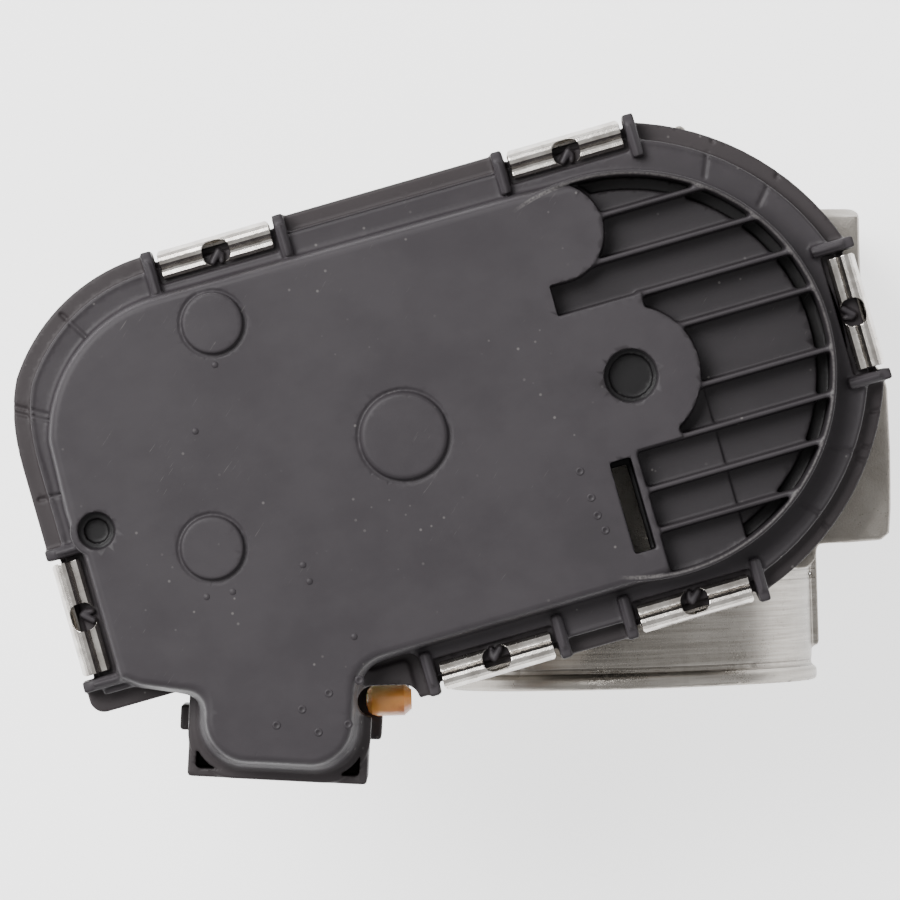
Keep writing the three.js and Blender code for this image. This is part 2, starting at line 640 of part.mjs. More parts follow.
// Motor
function motorScrewPlaces() {
  return [-1, 1].map((side) => [MOTOR.x, MOTOR.y + side * EAR.reach]);
}

function atMotor(geometry) {
  return solid(geometry.translate(MOTOR.x, MOTOR.y, 0));
}

function motorCan() {
  const { radius, wall, low, high } = CAN;
  const profile = [
    [0, low], [radius - 1, low], [radius, low + 1], [radius, high], [radius - wall, high],
    [radius - wall, low + wall], [5, low + wall], [5, low + wall + 2], [2.3, low + wall + 2], [2.3, low + 0.6],
    [0, low + 0.6],
  ];
  return part('motor_can', atMotor(turned(profile, 32)), FINISH.steel);
}

function motorMagnet(side) {
  const shape = new THREE.Shape();
  const from = side * Math.PI / 2 - 1.1;
  shape.absarc(0, 0, 15.9, from, from + 2.2, false);
  shape.absarc(0, 0, 13.3, from + 2.2, from, true);
  const name = side > 0 ? 'motor_magnet_upper' : 'motor_magnet_lower';
  return part(name, atMotor(slab(shape, [-8, 29])), FINISH.ferrite);
}

function motorArmature() {
  const profile = [
    [0, -12.9], [2, -12.9], [2, -5], [12.7, -5], [12.7, 25], [5.2, 25], [5.2, 34.6], [2, 34.6], [2, 54.2], [0, 54.2],
  ];
  const slots = [0, 1, 2, 3, 4, 5, 6].map((i) => {
    const angle = (i * 2 * Math.PI) / 7;
    return atMotor(box([7, 14], [-0.8, 0.8], [-6, 26]).rotateZ(angle));
  });
  return part('motor_armature', cut(atMotor(turned(profile, 28)), slots), FINISH.steel);
}

function brushPlate() {
  const plate = atMotor(rod(16, [30.6, 33.6], 0, 0, 32));
  return part('motor_brush_plate', plate.subtract(atMotor(rod(5.8, [30, 35], 0, 0, 24))), FINISH.blackPlastic);
}

function motorMountingPlate() {
  const heights = [FLOOR_Z + FIT, 41];
  const ears = box([-EAR.radius, EAR.radius], [-EAR.reach, EAR.reach], heights);
  const ends = [-1, 1].map((side) => atMotor(rod(EAR.radius, heights, 0, side * EAR.reach, 20)));
  const plate = joined([atMotor(rod(18.6, heights, 0, 0, 28)), atMotor(ears), ...ends]);
  const holes = [-1, 1].map((side) => atMotor(rod(1.9, [38, 42], 0, side * EAR.reach, 16)));
  return part('motor_mounting_plate', cut(plate, [atMotor(rod(6, [38, 42])), ...holes]), FINISH.steel);
}

function motorPinion() {
  const body = gear(TEETH.pinion, MOTOR_DIRECTION + Math.PI, [48.8, 54], { ...MOTOR, toothAtFacing: false });
  return part('motor_pinion', body.subtract(atMotor(rod(2.3, [48, 55], 0, 0, 20))), FINISH.brass);
}

function motorScrew([x, y], index) {
  const screw = solid(rod(1.5, [33.4, 42], x, y, 16)).add(solid(rod(2.8, [41.3, 43.3], x, y, 24)));
  const drive = solid(rod(1.3, [42.3, 44], x, y, 6));
  return part(`motor_screw_${index + 1}`, screw.subtract(drive), FINISH.steel);
}

function washer() {
  return part('motor_washer', atMotor(ring(6, 9.5, [-16.6, -14.6], 20)), FINISH.steel);
}

function motorContact(side) {
  const name = side > 0 ? 'motor_contact_upper' : 'motor_contact_lower';
  const blade = box([-10.4, -9.6], [side * 9 - 2, side * 9 + 2], [41.4, 54.2]);
  return part(name, atMotor(blade), FINISH.brass);
}

// Throttle position sensor
function sensorTarget() {
  return part('sensor_target', solid(ring(SHAFT_RADIUS + FIT, 8.8, [50.3, 51.1], 24)), FINISH.brass);
}

function sensorBoard() {
  return part('sensor_board', solid(box([-9, 6.4], [-6.4, 6.4], [52.6, 53.8])), FINISH.board);
}

function bearing(name, heights) {
  return part(name, solid(ring(SHAFT_RADIUS + FIT, BEARING.radius, heights, 24)), FINISH.steel);
}

function shaftSeal() {
  return part('shaft_seal', solid(ring(SHAFT_RADIUS + FIT, BEARING.radius, [37.3, 38.9], 24)), FINISH.rubber);
}

function endPlug() {
  const profile = [[0, -38.7], [6.4, -38.7], [7, -38.1], [7, -37.4], [0, -37.4]];
  return part('shaft_end_plug', solid(turned(profile)), FINISH.steel);
}

// Assembly
const gearSide = new THREE.Group();
gearSide.rotation.z = GEAR_SIDE_TURN;
gearSide.add(
  gearCover(),
  coverGasket(),
  ...CLIPS.map(coverClip),
  stopScrew(),
  throttleGear(),
  intermediateGear(),
  intermediatePin(),
  motorCan(),
  motorMagnet(1),
  motorMagnet(-1),
  motorArmature(),
  brushPlate(),
  motorMountingPlate(),
  motorPinion(),
  ...motorScrewPlaces().map(motorScrew),
  washer(),
  motorContact(1),
  motorContact(-1),
  sensorTarget(),
  sensorBoard(),
);

const connector = new THREE.Group();
connector.position.set(CONNECTOR.x, CONNECTOR.y, 0);
connector.rotation.z = CONNECTOR.turn;
connector.add(...TERMINALS.map(terminal));
gearSide.add(connector);

const throttleBody = new THREE.Group();
throttleBody.add(
  housing(),
  ventCap(),
  flangeSeal(),
  throttleShaft(),
  throttlePlate(),
  ...SCREW.heights.map(plateScrew),
  bearing('shaft_bearing_gear_side', [BEARING.inner, BEARING.outer]),
  bearing('shaft_bearing_far_side', [-BEARING.outer, -BEARING.inner]),
  shaftSeal(),
  endPlug(),
  returnSpring(),
  gearSide,
);

// The part stands on its base, centred over the origin
const extent = new THREE.Box3().setFromObject(throttleBody, true);
const middle = extent.getCenter(new THREE.Vector3());
throttleBody.position.set(-middle.x, -middle.y, -extent.min.z);
const throttleBodyPart = new THREE.Group();
throttleBodyPart.add(throttleBody);

export default throttleBodyPart;
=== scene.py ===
# Electronic throttle body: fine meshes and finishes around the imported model, with camera, floor and light.
import json
import math
import bmesh
import bpy
import numpy as np
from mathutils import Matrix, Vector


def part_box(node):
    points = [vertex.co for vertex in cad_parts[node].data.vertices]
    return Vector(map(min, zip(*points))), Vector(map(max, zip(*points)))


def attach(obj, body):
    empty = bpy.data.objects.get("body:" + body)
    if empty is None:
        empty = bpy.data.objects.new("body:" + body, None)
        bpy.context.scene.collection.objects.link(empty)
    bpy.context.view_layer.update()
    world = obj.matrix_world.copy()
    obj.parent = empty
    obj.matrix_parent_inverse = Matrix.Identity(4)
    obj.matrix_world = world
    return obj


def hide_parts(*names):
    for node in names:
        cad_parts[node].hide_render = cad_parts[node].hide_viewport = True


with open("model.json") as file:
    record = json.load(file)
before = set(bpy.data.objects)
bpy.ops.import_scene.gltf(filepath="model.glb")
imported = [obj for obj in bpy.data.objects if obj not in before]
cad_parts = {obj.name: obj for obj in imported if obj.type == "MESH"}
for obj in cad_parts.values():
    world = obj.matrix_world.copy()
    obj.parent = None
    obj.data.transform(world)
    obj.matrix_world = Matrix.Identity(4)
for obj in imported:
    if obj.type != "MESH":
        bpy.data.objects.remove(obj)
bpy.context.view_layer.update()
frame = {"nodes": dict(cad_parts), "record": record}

import openvdb
from mathutils import Matrix, Vector

print("frame loaded:", len(frame["nodes"]), "nodes")

# Shapes are drawn in millimetres, in the bore's frame, the gear side's or the connector's
mm = 0.001
gearTurn = math.radians(14.3)
connectorTurn = -0.33
plateLow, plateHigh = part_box("throttle_plate")
boreFrame = Matrix.Translation((plateLow + plateHigh) / 2) @ Matrix.Scale(mm, 4)
gearFrame = boreFrame @ Matrix.Rotation(gearTurn, 4, "Z")
connectorPlace = (-76.9, -49.7)
motorCentre = (-74.12, 10.48)
pinCentre = (-39.99, 0.70)


# Meshes
def meshObject(name, points, faces, place):
    mesh = bpy.data.meshes.new(name)
    mesh.from_pydata([place @ Vector(p) for p in points], [], faces)
    mesh.update()
    piece = bpy.data.objects.new(name, mesh)
    bpy.context.scene.collection.objects.link(piece)
    return piece


def smooth(piece, angle=None):
    piece.data.shade_smooth()
    if angle is not None:
        with bpy.context.temp_override(active_object=piece, object=piece, selected_editable_objects=[piece]):
            bpy.ops.object.shade_smooth_by_angle(angle=math.radians(angle))


def apply(piece, kind, **settings):
    modifier = piece.modifiers.new(kind.lower(), kind)
    for name, value in settings.items():
        setattr(modifier, name, value)
    with bpy.context.temp_override(active_object=piece, object=piece):
        bpy.ops.object.modifier_apply(modifier=modifier.name)


def arc(x, y, radius, start, stop, steps):
    angles = np.radians(np.linspace(start, stop, steps + 1))
    return [(x + radius * math.cos(a), y + radius * math.sin(a)) for a in angles]


def lathe(name, profile, place, steps=96, closed=False):
    # profile: radius and height pairs along local Z; a closed one makes a ring
    count = len(profile)
    points, faces = [], []
    for i in range(steps):
        a = 2 * math.pi * i / steps
        points += [(r * math.cos(a), r * math.sin(a), h) for r, h in profile]
    spans = count if closed else count - 1
    for i in range(steps):
        here, there = i * count, (i + 1) % steps * count
        for j in range(spans):
            k = (j + 1) % count
            faces.append((here + j, there + j, there + k, here + k))
    piece = meshObject(name, points, faces, place)
    shell = bmesh.new()
    shell.from_mesh(piece.data)
    bmesh.ops.remove_doubles(shell, verts=shell.verts, dist=1e-7)
    bmesh.ops.recalc_face_normals(shell, faces=shell.faces)
    shell.to_mesh(piece.data)
    shell.free()
    return piece


alongY = Matrix.Rotation(-math.pi / 2, 4, "X")  # turns a lathe's Z onto Y
alongX = Matrix.Rotation(math.pi / 2, 4, "Y")


# Volumes: signed distances in mm, added and cut, then skinned
def softMin(a, b, blend):
    if blend == 0:
        return np.minimum(a, b)
    h = np.maximum(blend - np.abs(a - b), 0) / blend
    return np.minimum(a, b) - h * h * blend / 4


class Volume:
    far = 4.0

    def __init__(self, low, high, step):
        self.low, self.step = low, step
        self.axes = [np.arange(a, b, step, dtype=np.float32) for a, b in zip(low, high)]
        self.field = np.full([len(a) for a in self.axes], self.far, np.float32)

    def across(self, along=2):
        return np.meshgrid(*[self.axes[i] for i in range(3) if i != along], indexing="ij")

    def shape(self, flat, low, high, edge=0.35, along=2, slope=0.0, margin=2.0):
        near = flat < margin + abs(slope) * (high - low)
        depth = self.axes[along]
        spans = [np.flatnonzero(near.any(axis=1)), np.flatnonzero(near.any(axis=0))]
        spans.insert(along, np.flatnonzero((depth > low - margin) & (depth < high + margin)))
        place = tuple(slice(s[0], s[-1] + 1) for s in spans)
        flatPlace = tuple(p for i, p in enumerate(place) if i != along)
        size = [1, 1, 1]
        size[along] = -1
        w = depth[place[along]].reshape(size)
        u = np.expand_dims(flat[flatPlace], along) + slope * (w - low) + edge
        v = np.abs(w - (low + high) / 2) - (high - low) / 2 + edge
        body = np.minimum(np.maximum(u, v), 0) + np.hypot(np.maximum(u, 0), np.maximum(v, 0)) - edge
        return place, body.astype(np.float32)

    def add(self, flat, low, high, blend=0.0, **shape):
        place, body = self.shape(flat, low, high, margin=2.0 + blend, **shape)
        self.field[place] = softMin(self.field[place], body, blend)

    def cut(self, flat, low, high, blend=0.0, **shape):
        place, body = self.shape(flat, low, high, margin=2.0 + blend, **shape)
        self.field[place] = -softMin(-self.field[place], body, blend)

    def skin(self, name, place, faces):
        grid = openvdb.FloatGrid(self.far)
        grid.copyFromArray(self.field)
        points, triangles, quads = grid.convertToPolygons(isovalue=0.0, adaptivity=0.015)
        matrix = np.array(place, float)
        local = points * self.step + np.array(self.low, float)
        world = local @ matrix[:3, :3].T + matrix[:3, 3]
        mesh = bpy.data.meshes.new(name)
        mesh.vertices.add(len(world))
        mesh.vertices.foreach_set("co", world.astype(np.float32).ravel())
        corners = np.concatenate([quads[:, ::-1].ravel(), triangles[:, ::-1].ravel()])
        mesh.loops.add(len(corners))
        mesh.loops.foreach_set("vertex_index", corners.astype(np.int32))
        sizes = [4] * len(quads) + [3] * len(triangles)
        mesh.polygons.add(len(sizes))
        mesh.polygons.foreach_set("loop_start", np.concatenate([[0], np.cumsum(sizes)[:-1]]).astype(np.int32))
        mesh.update(calc_edges=True)
        mesh.validate()
        piece = bpy.data.objects.new(name, mesh)
        bpy.context.scene.collection.objects.link(piece)
        smooth(piece)
        count = len(quads) * 2 + len(triangles)
        if count > faces:
            apply(piece, "DECIMATE", ratio=faces / count)
        apply(piece, "WEIGHTED_NORMAL", weight=100, thresh=0.01)
        return piece


# Flat distance fields
def circle(grid, x, y, radius):
    return np.hypot(grid[0] - x, grid[1] - y) - radius


def rect(grid, x0, x1, y0, y1, corner=0.0):
    u = np.abs(grid[0] - (x0 + x1) / 2) - (x1 - x0) / 2 + corner
    v = np.abs(grid[1] - (y0 + y1) / 2) - (y1 - y0) / 2 + corner
    return np.minimum(np.maximum(u, v), 0) + np.hypot(np.maximum(u, 0), np.maximum(v, 0)) - corner


def polygon(grid, points):
    x, y = grid
    nearest = np.full(x.shape, 1e9, np.float32)
    inside = np.zeros(x.shape, bool)
    for (ax, ay), (bx, by) in zip(points, points[1:] + points[:1]):
        ex, ey = bx - ax, by - ay
        t = np.clip(((x - ax) * ex + (y - ay) * ey) / (ex * ex + ey * ey), 0, 1)
        nearest = np.minimum(nearest, (x - ax - ex * t) ** 2 + (y - ay - ey * t) ** 2)
        if ay != by:
            inside ^= ((ay > y) != (by > y)) & (x < ex * (y - ay) / ey + ax)
    return np.where(inside, -1, 1) * np.sqrt(nearest)


def stroke(grid, x0, y0, x1, y1, half):
    ex, ey = x1 - x0, y1 - y0
    t = np.clip(((grid[0] - x0) * ex + (grid[1] - y0) * ey) / (ex * ex + ey * ey), 0, 1)
    return np.hypot(grid[0] - x0 - ex * t, grid[1] - y0 - ey * t) - half


def turned(grid, x, y, angle):
    # the same places as seen from a frame at x, y turned by an angle
    u, v = grid[0] - x, grid[1] - y
    return u * math.cos(angle) + v * math.sin(angle), v * math.cos(angle) - u * math.sin(angle)


# Finishes
class Socket:
    def __init__(self, finish, socket):
        self.finish, self.socket = finish, socket

    def math(self, operation, *others):
        sources = dict(enumerate((self,) + others))
        return self.finish.node("ShaderNodeMath", {"operation": operation}, sources)

    def __add__(self, other):
        return self.math("ADD", other)

    def __radd__(self, other):
        return self.math("ADD", other)

    def __sub__(self, other):
        return self.math("SUBTRACT", other)

    def __rsub__(self, other):
        return self.finish.constant(other).math("SUBTRACT", self)

    def __mul__(self, other):
        return self.math("MULTIPLY", other)

    def __rmul__(self, other):
        return self.math("MULTIPLY", other)

    def __truediv__(self, other):
        return self.math("DIVIDE", other)

    def __rtruediv__(self, other):
        return self.finish.constant(other).math("DIVIDE", self)

    def vectorMath(self, operation, other, output="Value"):
        return self.finish.node("ShaderNodeVectorMath", {"operation": operation}, {0: self, 1: other}, output)

    def within(self, low, high):  # 0 at low to 1 at high, smoothly
        names = {"Value": self, "From Min": low, "From Max": high}
        return self.finish.node("ShaderNodeMapRange", {"interpolation_type": "SMOOTHSTEP"}, names)


class Finish:
    def __init__(self, name, **surface):
        self.material = bpy.data.materials.new(name)
        self.material.use_nodes = True
        self.tree = self.material.node_tree
        self.tree.nodes.clear()
        self.shader = self.tree.nodes.new("ShaderNodeBsdfPrincipled")
        output = self.tree.nodes.new("ShaderNodeOutputMaterial")
        self.tree.links.new(self.shader.outputs[0], output.inputs[0])
        for key, value in surface.items():
            self.shader.inputs[key.replace("_", " ")].default_value = value
        self.place = self.node("ShaderNodeTexCoord", {}, {}, "Object")

    def plug(self, target, source):
        if isinstance(source, Socket):
            self.tree.links.new(source.socket, target)
        else:
            target.default_value = source

    def node(self, kind, settings, sources, output=0):
        made = self.tree.nodes.new(kind)
        for key, value in settings.items():
            setattr(made, key, value)
        for key, source in sources.items():
            self.plug(made.inputs[key], source)
        return Socket(self, made.outputs[output])

    def constant(self, value):
        return self.node("ShaderNodeMath", {"operation": "ADD"}, {0: value, 1: 0.0})

    def moved(self, place=Matrix.Identity(4), stretch=(1, 1, 1)):
        # coordinates in millimetres, as seen from another frame
        back = place.inverted()
        sources = {"Vector": self.place, "Location": back.translation,
                   "Rotation": back.to_euler(), "Scale": (back.to_scale()[0],) * 3}
        local = self.node("ShaderNodeMapping", {}, sources)
        return self.node("ShaderNodeVectorMath", {"operation": "MULTIPLY"}, {0: local, 1: stretch})

    def axis(self, vector, letter):
        return self.node("ShaderNodeSeparateXYZ", {}, {0: vector}, letter)

    def noise(self, vector, scale, detail=3.0, roughness=0.5):
        sources = {"Vector": vector, "Scale": scale, "Detail": detail, "Roughness": roughness}
        return self.node("ShaderNodeTexNoise", {}, sources)

    def cells(self, vector, scale):
        return self.node("ShaderNodeTexVoronoi", {}, {"Vector": vector, "Scale": scale}, "Distance")

    def mix(self, amount, first, second):
        made = self.tree.nodes.new("ShaderNodeMix")
        made.data_type = "RGBA"
        for i, source in ((0, amount), (6, first), (7, second)):
            if not isinstance(source, (Socket, float, int)):
                source = (*source, 1.0)
            self.plug(made.inputs[i], source)
        return Socket(self, made.outputs[2])

    def edges(self):  # pointiness: high on outer edges, used for wear and painted highlight; low in inner corners, used for painted shade
        return self.node("ShaderNodeNewGeometry", {}, {}, "Pointiness")

    def done(self, color, roughness, height, strength, reach=0.0001, **more):
        bump = {"Height": height, "Strength": strength, "Distance": reach}
        normal = self.node("ShaderNodeBump", {}, bump)
        self.plug(self.shader.inputs["Base Color"], color)
        self.plug(self.shader.inputs["Roughness"], roughness)
        self.plug(self.shader.inputs["Normal"], normal)
        for key, source in more.items():
            self.plug(self.shader.inputs[key.replace("_", " ")], source)
        return self.material


def mouldedPlastic():
    # The floor tone is the painted shade of the open recess beside the shaft.
    look = {"base": (0.032, 0.028, 0.0315), "light": (0.047, 0.042, 0.046), "scuffAndHighlight": (0.17, 0.16, 0.155),
            "ledge": (0.034, 0.027, 0.026), "floor": (0.014, 0.012, 0.013), "grain": 9.0, "roughness": 0.52}
    f = Finish("moulded black plastic", Specular_IOR_Level=0.25)
    local = f.moved(gearFrame)
    swirl = f.noise(local, 0.06, 5, 0.6).within(0.36, 0.66)
    streaks = f.noise(f.moved(gearFrame, (0.5, 1.2, 1)), 0.3, 4, 0.6).within(0.42, 0.75)
    grain = f.noise(local, look["grain"], 2, 0.6)
    fine = f.noise(local, 2.2, 4, 0.65)
    tone = f.mix(swirl * 0.5 + streaks * 0.12 + (grain - 0.5) * 0.3 + 0.1, look["base"], look["light"])
    height = f.axis(local, "Z")
    level = height.within(51.6, 48.4)
    tone = f.mix(level * 0.45, tone, look["ledge"])
    fromShaft = local.vectorMath("MULTIPLY", (1, 1, 0), "Vector").vectorMath("LENGTH", (0, 0, 0))
    # Painted shade: the open recess beside the shaft is darkened, and its gutter by the rim painted almost
    # black.
    shadedRecess = fromShaft.within(34.6, 34.1) * height.within(56.0, 54.0)
    tone = f.mix(shadedRecess * 0.5, tone, look["floor"])
    tone = f.mix(shadedRecess * height.within(52.2, 51.9) * 0.85, tone, (0.004, 0.0035, 0.0035))
    fromPort = local.vectorMath("DISTANCE", (-94.4, -0.3, 56.0))
    across, along = f.axis(local, "X"), f.axis(local, "Y")
    window = across.within(-7.9, -7.6) * across.within(-3.6, -3.9)
    window = window * along.within(-29.6, -29.3) * along.within(-12.9, -13.2)
    # Painted shade: the shaft hole, the port hole and the window slot are painted almost black inside.
    paintedHoleShade = (fromShaft.within(4.6, 4.3) + fromPort.within(3.2, 2.9)) * height.within(56.9, 56.0)
    paintedHoleShade = paintedHoleShade + window * height.within(56.0, 53.5)
    tone = f.mix(paintedHoleShade * 0.9, tone, (0.003, 0.0027, 0.003))
    # The rim's top line is lightened: partly wear, partly painted highlight.
    rimWearAndHighlight = (fromShaft - 34.25).math("ABSOLUTE").within(0.42, 0.22) * height.within(56.4, 56.9)
    rimWearAndHighlight = rimWearAndHighlight * across.within(-12, -8)
    specks = f.cells(local, 0.42).within(0.13, 0.06) * f.noise(local, 0.11, 2).within(0.52, 0.66)
    slanted = f.moved(gearFrame @ Matrix.Rotation(0.7, 4, "Z"), (0.35, 5, 1))
    marks = f.noise(slanted, 0.55, 3, 0.7).within(0.66, 0.76)
    marks = marks * f.noise(local, 0.05, 3).within(0.5, 0.62)
    # Outer edges lightened by pointiness: partly wear, partly painted highlight. The scuff tone also serves
    # the real specks and marks.
    edge = f.edges().within(0.58, 0.78)
    wearAndHighlight = edge * fine.within(0.38, 0.62) * 0.4 + rimWearAndHighlight * fine.within(0.3, 0.6) * 0.5
    tone = f.mix(wearAndHighlight, tone, look["scuffAndHighlight"])
    tone = f.mix(specks * 0.55 + marks * 0.4, tone, look["scuffAndHighlight"])
    # Painted shade: inner corners and creases darkened.
    paintedCornerShade = f.edges().within(0.485, 0.42)
    tone = f.mix(paintedCornerShade * 0.6, tone, (0.012, 0.010, 0.010))
    rough = swirl * 0.08 + fine * 0.14 + marks * 0.12 + (look["roughness"] - 0.1) - wearAndHighlight * 0.1
    return f.done(tone, rough, grain * 0.6 + fine * 0.5, 0.3, 0.0001)


def castMetal():
    look = {"base": (0.24, 0.22, 0.195), "light": (0.42, 0.395, 0.36), "dark": (0.10, 0.088, 0.075),
            "machined": (0.50, 0.47, 0.435), "roughness": 0.38}
    f = Finish("cast aluminium", Metallic=0.86, Specular_IOR_Level=0.5)
    local = f.moved(boreFrame)
    y, z = f.axis(local, "Y"), f.axis(local, "Z")
    radius = local.vectorMath("MULTIPLY", (1, 0, 1), "Vector").vectorMath("LENGTH", (0, 0, 0))
    cloud = f.noise(local, 0.09, 5, 0.62).within(0.3, 0.7)
    grain = f.noise(local, 3.2, 3, 0.6)
    pits = f.cells(local, 1.6).within(0.22, 0.08) * f.noise(local, 0.3, 2).within(0.5, 0.62)
    bands = f.noise(f.moved(boreFrame, (0.05, 1.6, 0.05)), 0.9, 6, 0.7)
    streaks = f.noise(f.moved(boreFrame, (1.3, 0.04, 0.3)), 0.35, 4, 0.6)
    turned = radius.within(32.9, 32.7) * y.within(29.9, 29.0)
    rings = (y * 2.4).math("SINE") * 0.5 + 0.5
    bore = radius.within(28.9, 28.7)
    tone = f.mix(cloud * 0.6 + (grain - 0.5) * 0.5, look["base"], look["light"])
    tone = f.mix(streaks.within(0.52, 0.74) * 0.16 * turned, tone, look["dark"])
    tone = f.mix(turned * bands.within(0.35, 0.68) * 0.6, tone, look["machined"])
    lines = (y + 51.2).math("ABSOLUTE").within(0.22, 0.1)
    for back, width, core in ((50.4, 0.18, 0.08), (34.5, 0.2, 0.1), (36.1, 0.18, 0.08)):
        lines = lines + (y + back).math("ABSOLUTE").within(width, core)
    tone = f.mix(lines * turned * 0.55, tone, look["dark"])
    tone = f.mix(bore * 0.5, tone, look["machined"])
    tone = f.mix(pits * 0.5, tone, look["dark"])
    # Painted shade: inner corners darkened.
    tone = f.mix(f.edges().within(0.47, 0.41) * 0.4, tone, look["dark"])
    # Painted highlight: outer edges lightened.
    tone = f.mix(f.edges().within(0.53, 0.62) * 0.5, tone, (0.74, 0.71, 0.67))
    rough = look["roughness"] + cloud * 0.1 - turned * 0.12 + (grain - 0.5) * 0.16 + pits * 0.1
    relief = grain * (1 - turned * 0.7) + bands * turned * 0.5 + rings * bore * 0.2
    relief = relief - pits * 0.5 - lines * turned * 0.8
    return f.done(tone, rough, relief, 0.55, 0.00018)


def springMetal():
    look = {"base": (0.42, 0.39, 0.36), "light": (0.66, 0.63, 0.59), "dark": (0.10, 0.08, 0.065),
            "roughness": 0.24}
    f = Finish("bright spring steel", Metallic=1.0)
    local = f.moved(gearFrame)
    cloud = f.noise(local, 0.35, 4, 0.6).within(0.3, 0.7)
    fine = f.noise(local, 5.0, 3, 0.6)
    spots = f.cells(local, 1.3).within(0.2, 0.08) * f.noise(local, 0.5, 2).within(0.48, 0.6)
    tone = f.mix(cloud, look["base"], look["light"])
    tone = f.mix(spots * 0.6, tone, look["dark"])
    # Painted shade: inner corners of the bent sheet darkened.
    tone = f.mix(f.edges().within(0.47, 0.36) * 0.6, tone, look["dark"])
    rough = look["roughness"] + fine * 0.14 - 0.07 + spots * 0.2
    return f.done(tone, rough, fine * 0.5 + cloud * 0.3, 0.25, 0.00008)


def amberPlastic():
    # The light tone is a painted highlight and the dark tone a painted shade; the middle tone is the cap's
    # own colour.
    look = {"light": (1.0, 0.68, 0.30), "middle": (0.74, 0.32, 0.07), "dark": (0.30, 0.07, 0.013)}
    f = Finish("amber plastic", Coat_Weight=0.6, Coat_Roughness=0.12, Subsurface_Weight=0.25,
               Subsurface_Scale=0.0015)
    local = f.moved(boreFrame)
    cloud = f.noise(local, 0.45, 4, 0.6)
    fine = f.noise(local, 4.0, 3, 0.6)
    # Painted shade and highlight: the cap darkens toward its lower side and lightens toward its other end, in
    # a fixed direction.
    across = (f.axis(local, "Y") + 54.2) / 5.6 - (f.axis(local, "X") + 42.8) / 16
    tone = f.mix((across + cloud * 0.5 - 0.25).within(0.0, -0.75), look["middle"], look["dark"])
    tone = f.mix((across + cloud * 0.4 - 0.2).within(0.1, 0.55), tone, look["light"])
    return f.done(tone, fine * 0.1 + 0.2, fine * 0.4 + cloud * 0.4, 0.2, 0.0001)


def plainMetal(name, base, light, dark, roughness, brushed=(0.15, 1, 1)):
    f = Finish(name, Metallic=1.0)
    cloud = f.noise(f.moved(boreFrame), 0.25, 4, 0.6).within(0.3, 0.7)
    lines = f.noise(f.moved(boreFrame, brushed), 3.0, 5, 0.65)
    spots = f.noise(f.moved(boreFrame), 0.9, 3, 0.7).within(0.62, 0.72)
    tone = f.mix(cloud * 0.6 + (lines - 0.5) * 0.6, base, light)
    tone = f.mix(spots * 0.35, tone, dark)
    return f.done(tone, lines * 0.25 + spots * 0.12 + (roughness - 0.12), lines + cloud * 0.3, 0.3, 0.00006)


def plainPolymer(name, base, light, roughness, grain=4.0):
    f = Finish(name, Specular_IOR_Level=0.4)
    local = f.moved(boreFrame)
    cloud = f.noise(local, 0.12, 4, 0.6).within(0.3, 0.7)
    fine = f.noise(local, grain, 3, 0.6)
    dust = f.cells(local, 1.1).within(0.12, 0.05) * cloud
    tone = f.mix(cloud * 0.5 + (fine - 0.5) * 0.5, base, light)
    tone = f.mix(dust * 0.4, tone, tuple(min(1.0, v * 1.6 + 0.08) for v in light))
    return f.done(tone, fine * 0.2 + (roughness - 0.1), fine + cloud * 0.3, 0.3, 0.0001)


def solderMask():
    f = Finish("circuit board", Coat_Weight=0.3, Coat_Roughness=0.2)
    local = f.moved(gearFrame)
    tracks = (f.axis(local, "X") * 2.1).math("SINE").within(0.55, 0.75)
    weave = f.noise(local, 3.0, 3, 0.6)
    tone = f.mix(tracks * 0.5 + weave * 0.3, (0.012, 0.075, 0.03), (0.03, 0.16, 0.07))
    return f.done(tone, weave * 0.2 + 0.28, tracks * 0.5 + weave * 0.3, 0.3, 0.0001)


finishes = {
    "black_plastic": mouldedPlastic(),
    "cast_aluminium": castMetal(),
    "clip_steel": springMetal(),
    "amber_plastic": amberPlastic(),
    "steel": plainMetal("ground steel", (0.42, 0.41, 0.40), (0.62, 0.61, 0.60), (0.16, 0.13, 0.11), 0.3),
    "zinc_steel": plainMetal("zinc plated steel", (0.46, 0.45, 0.40), (0.66, 0.65, 0.58),
                             (0.28, 0.25, 0.17), 0.36),
    "brass": plainMetal("brass", (0.46, 0.36, 0.19), (0.64, 0.53, 0.32),
                        (0.24, 0.16, 0.08), 0.3, (0.3, 1, 0.3)),
    "gear_plastic": plainPolymer("natural gear nylon", (0.50, 0.45, 0.34), (0.66, 0.61, 0.50), 0.45),
    "rubber": plainPolymer("seal rubber", (0.012, 0.012, 0.013), (0.03, 0.03, 0.032), 0.6, 6.0),
    "ferrite": plainPolymer("sintered ferrite", (0.035, 0.033, 0.034), (0.07, 0.067, 0.068), 0.55, 7.0),
    "circuit_board": solderMask(),
}


def dress(piece, slotName, body="housing", node=None):
    piece.data.materials.clear()
    piece.data.materials.append(finishes[slotName])
    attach(piece, body)
    if node:
        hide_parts(node)


slotOf = {s["node"]: s["material_slot"] for s in frame["record"]["subparts"]}
print("finishes:", len(finishes))


# Gear chamber's outline, shared by cover and housing
chamber = {"left": -103.9, "top": 42.6, "bottom": -42.9, "endX": -2.0, "endY": 2.2, "endRadius": 46.0}


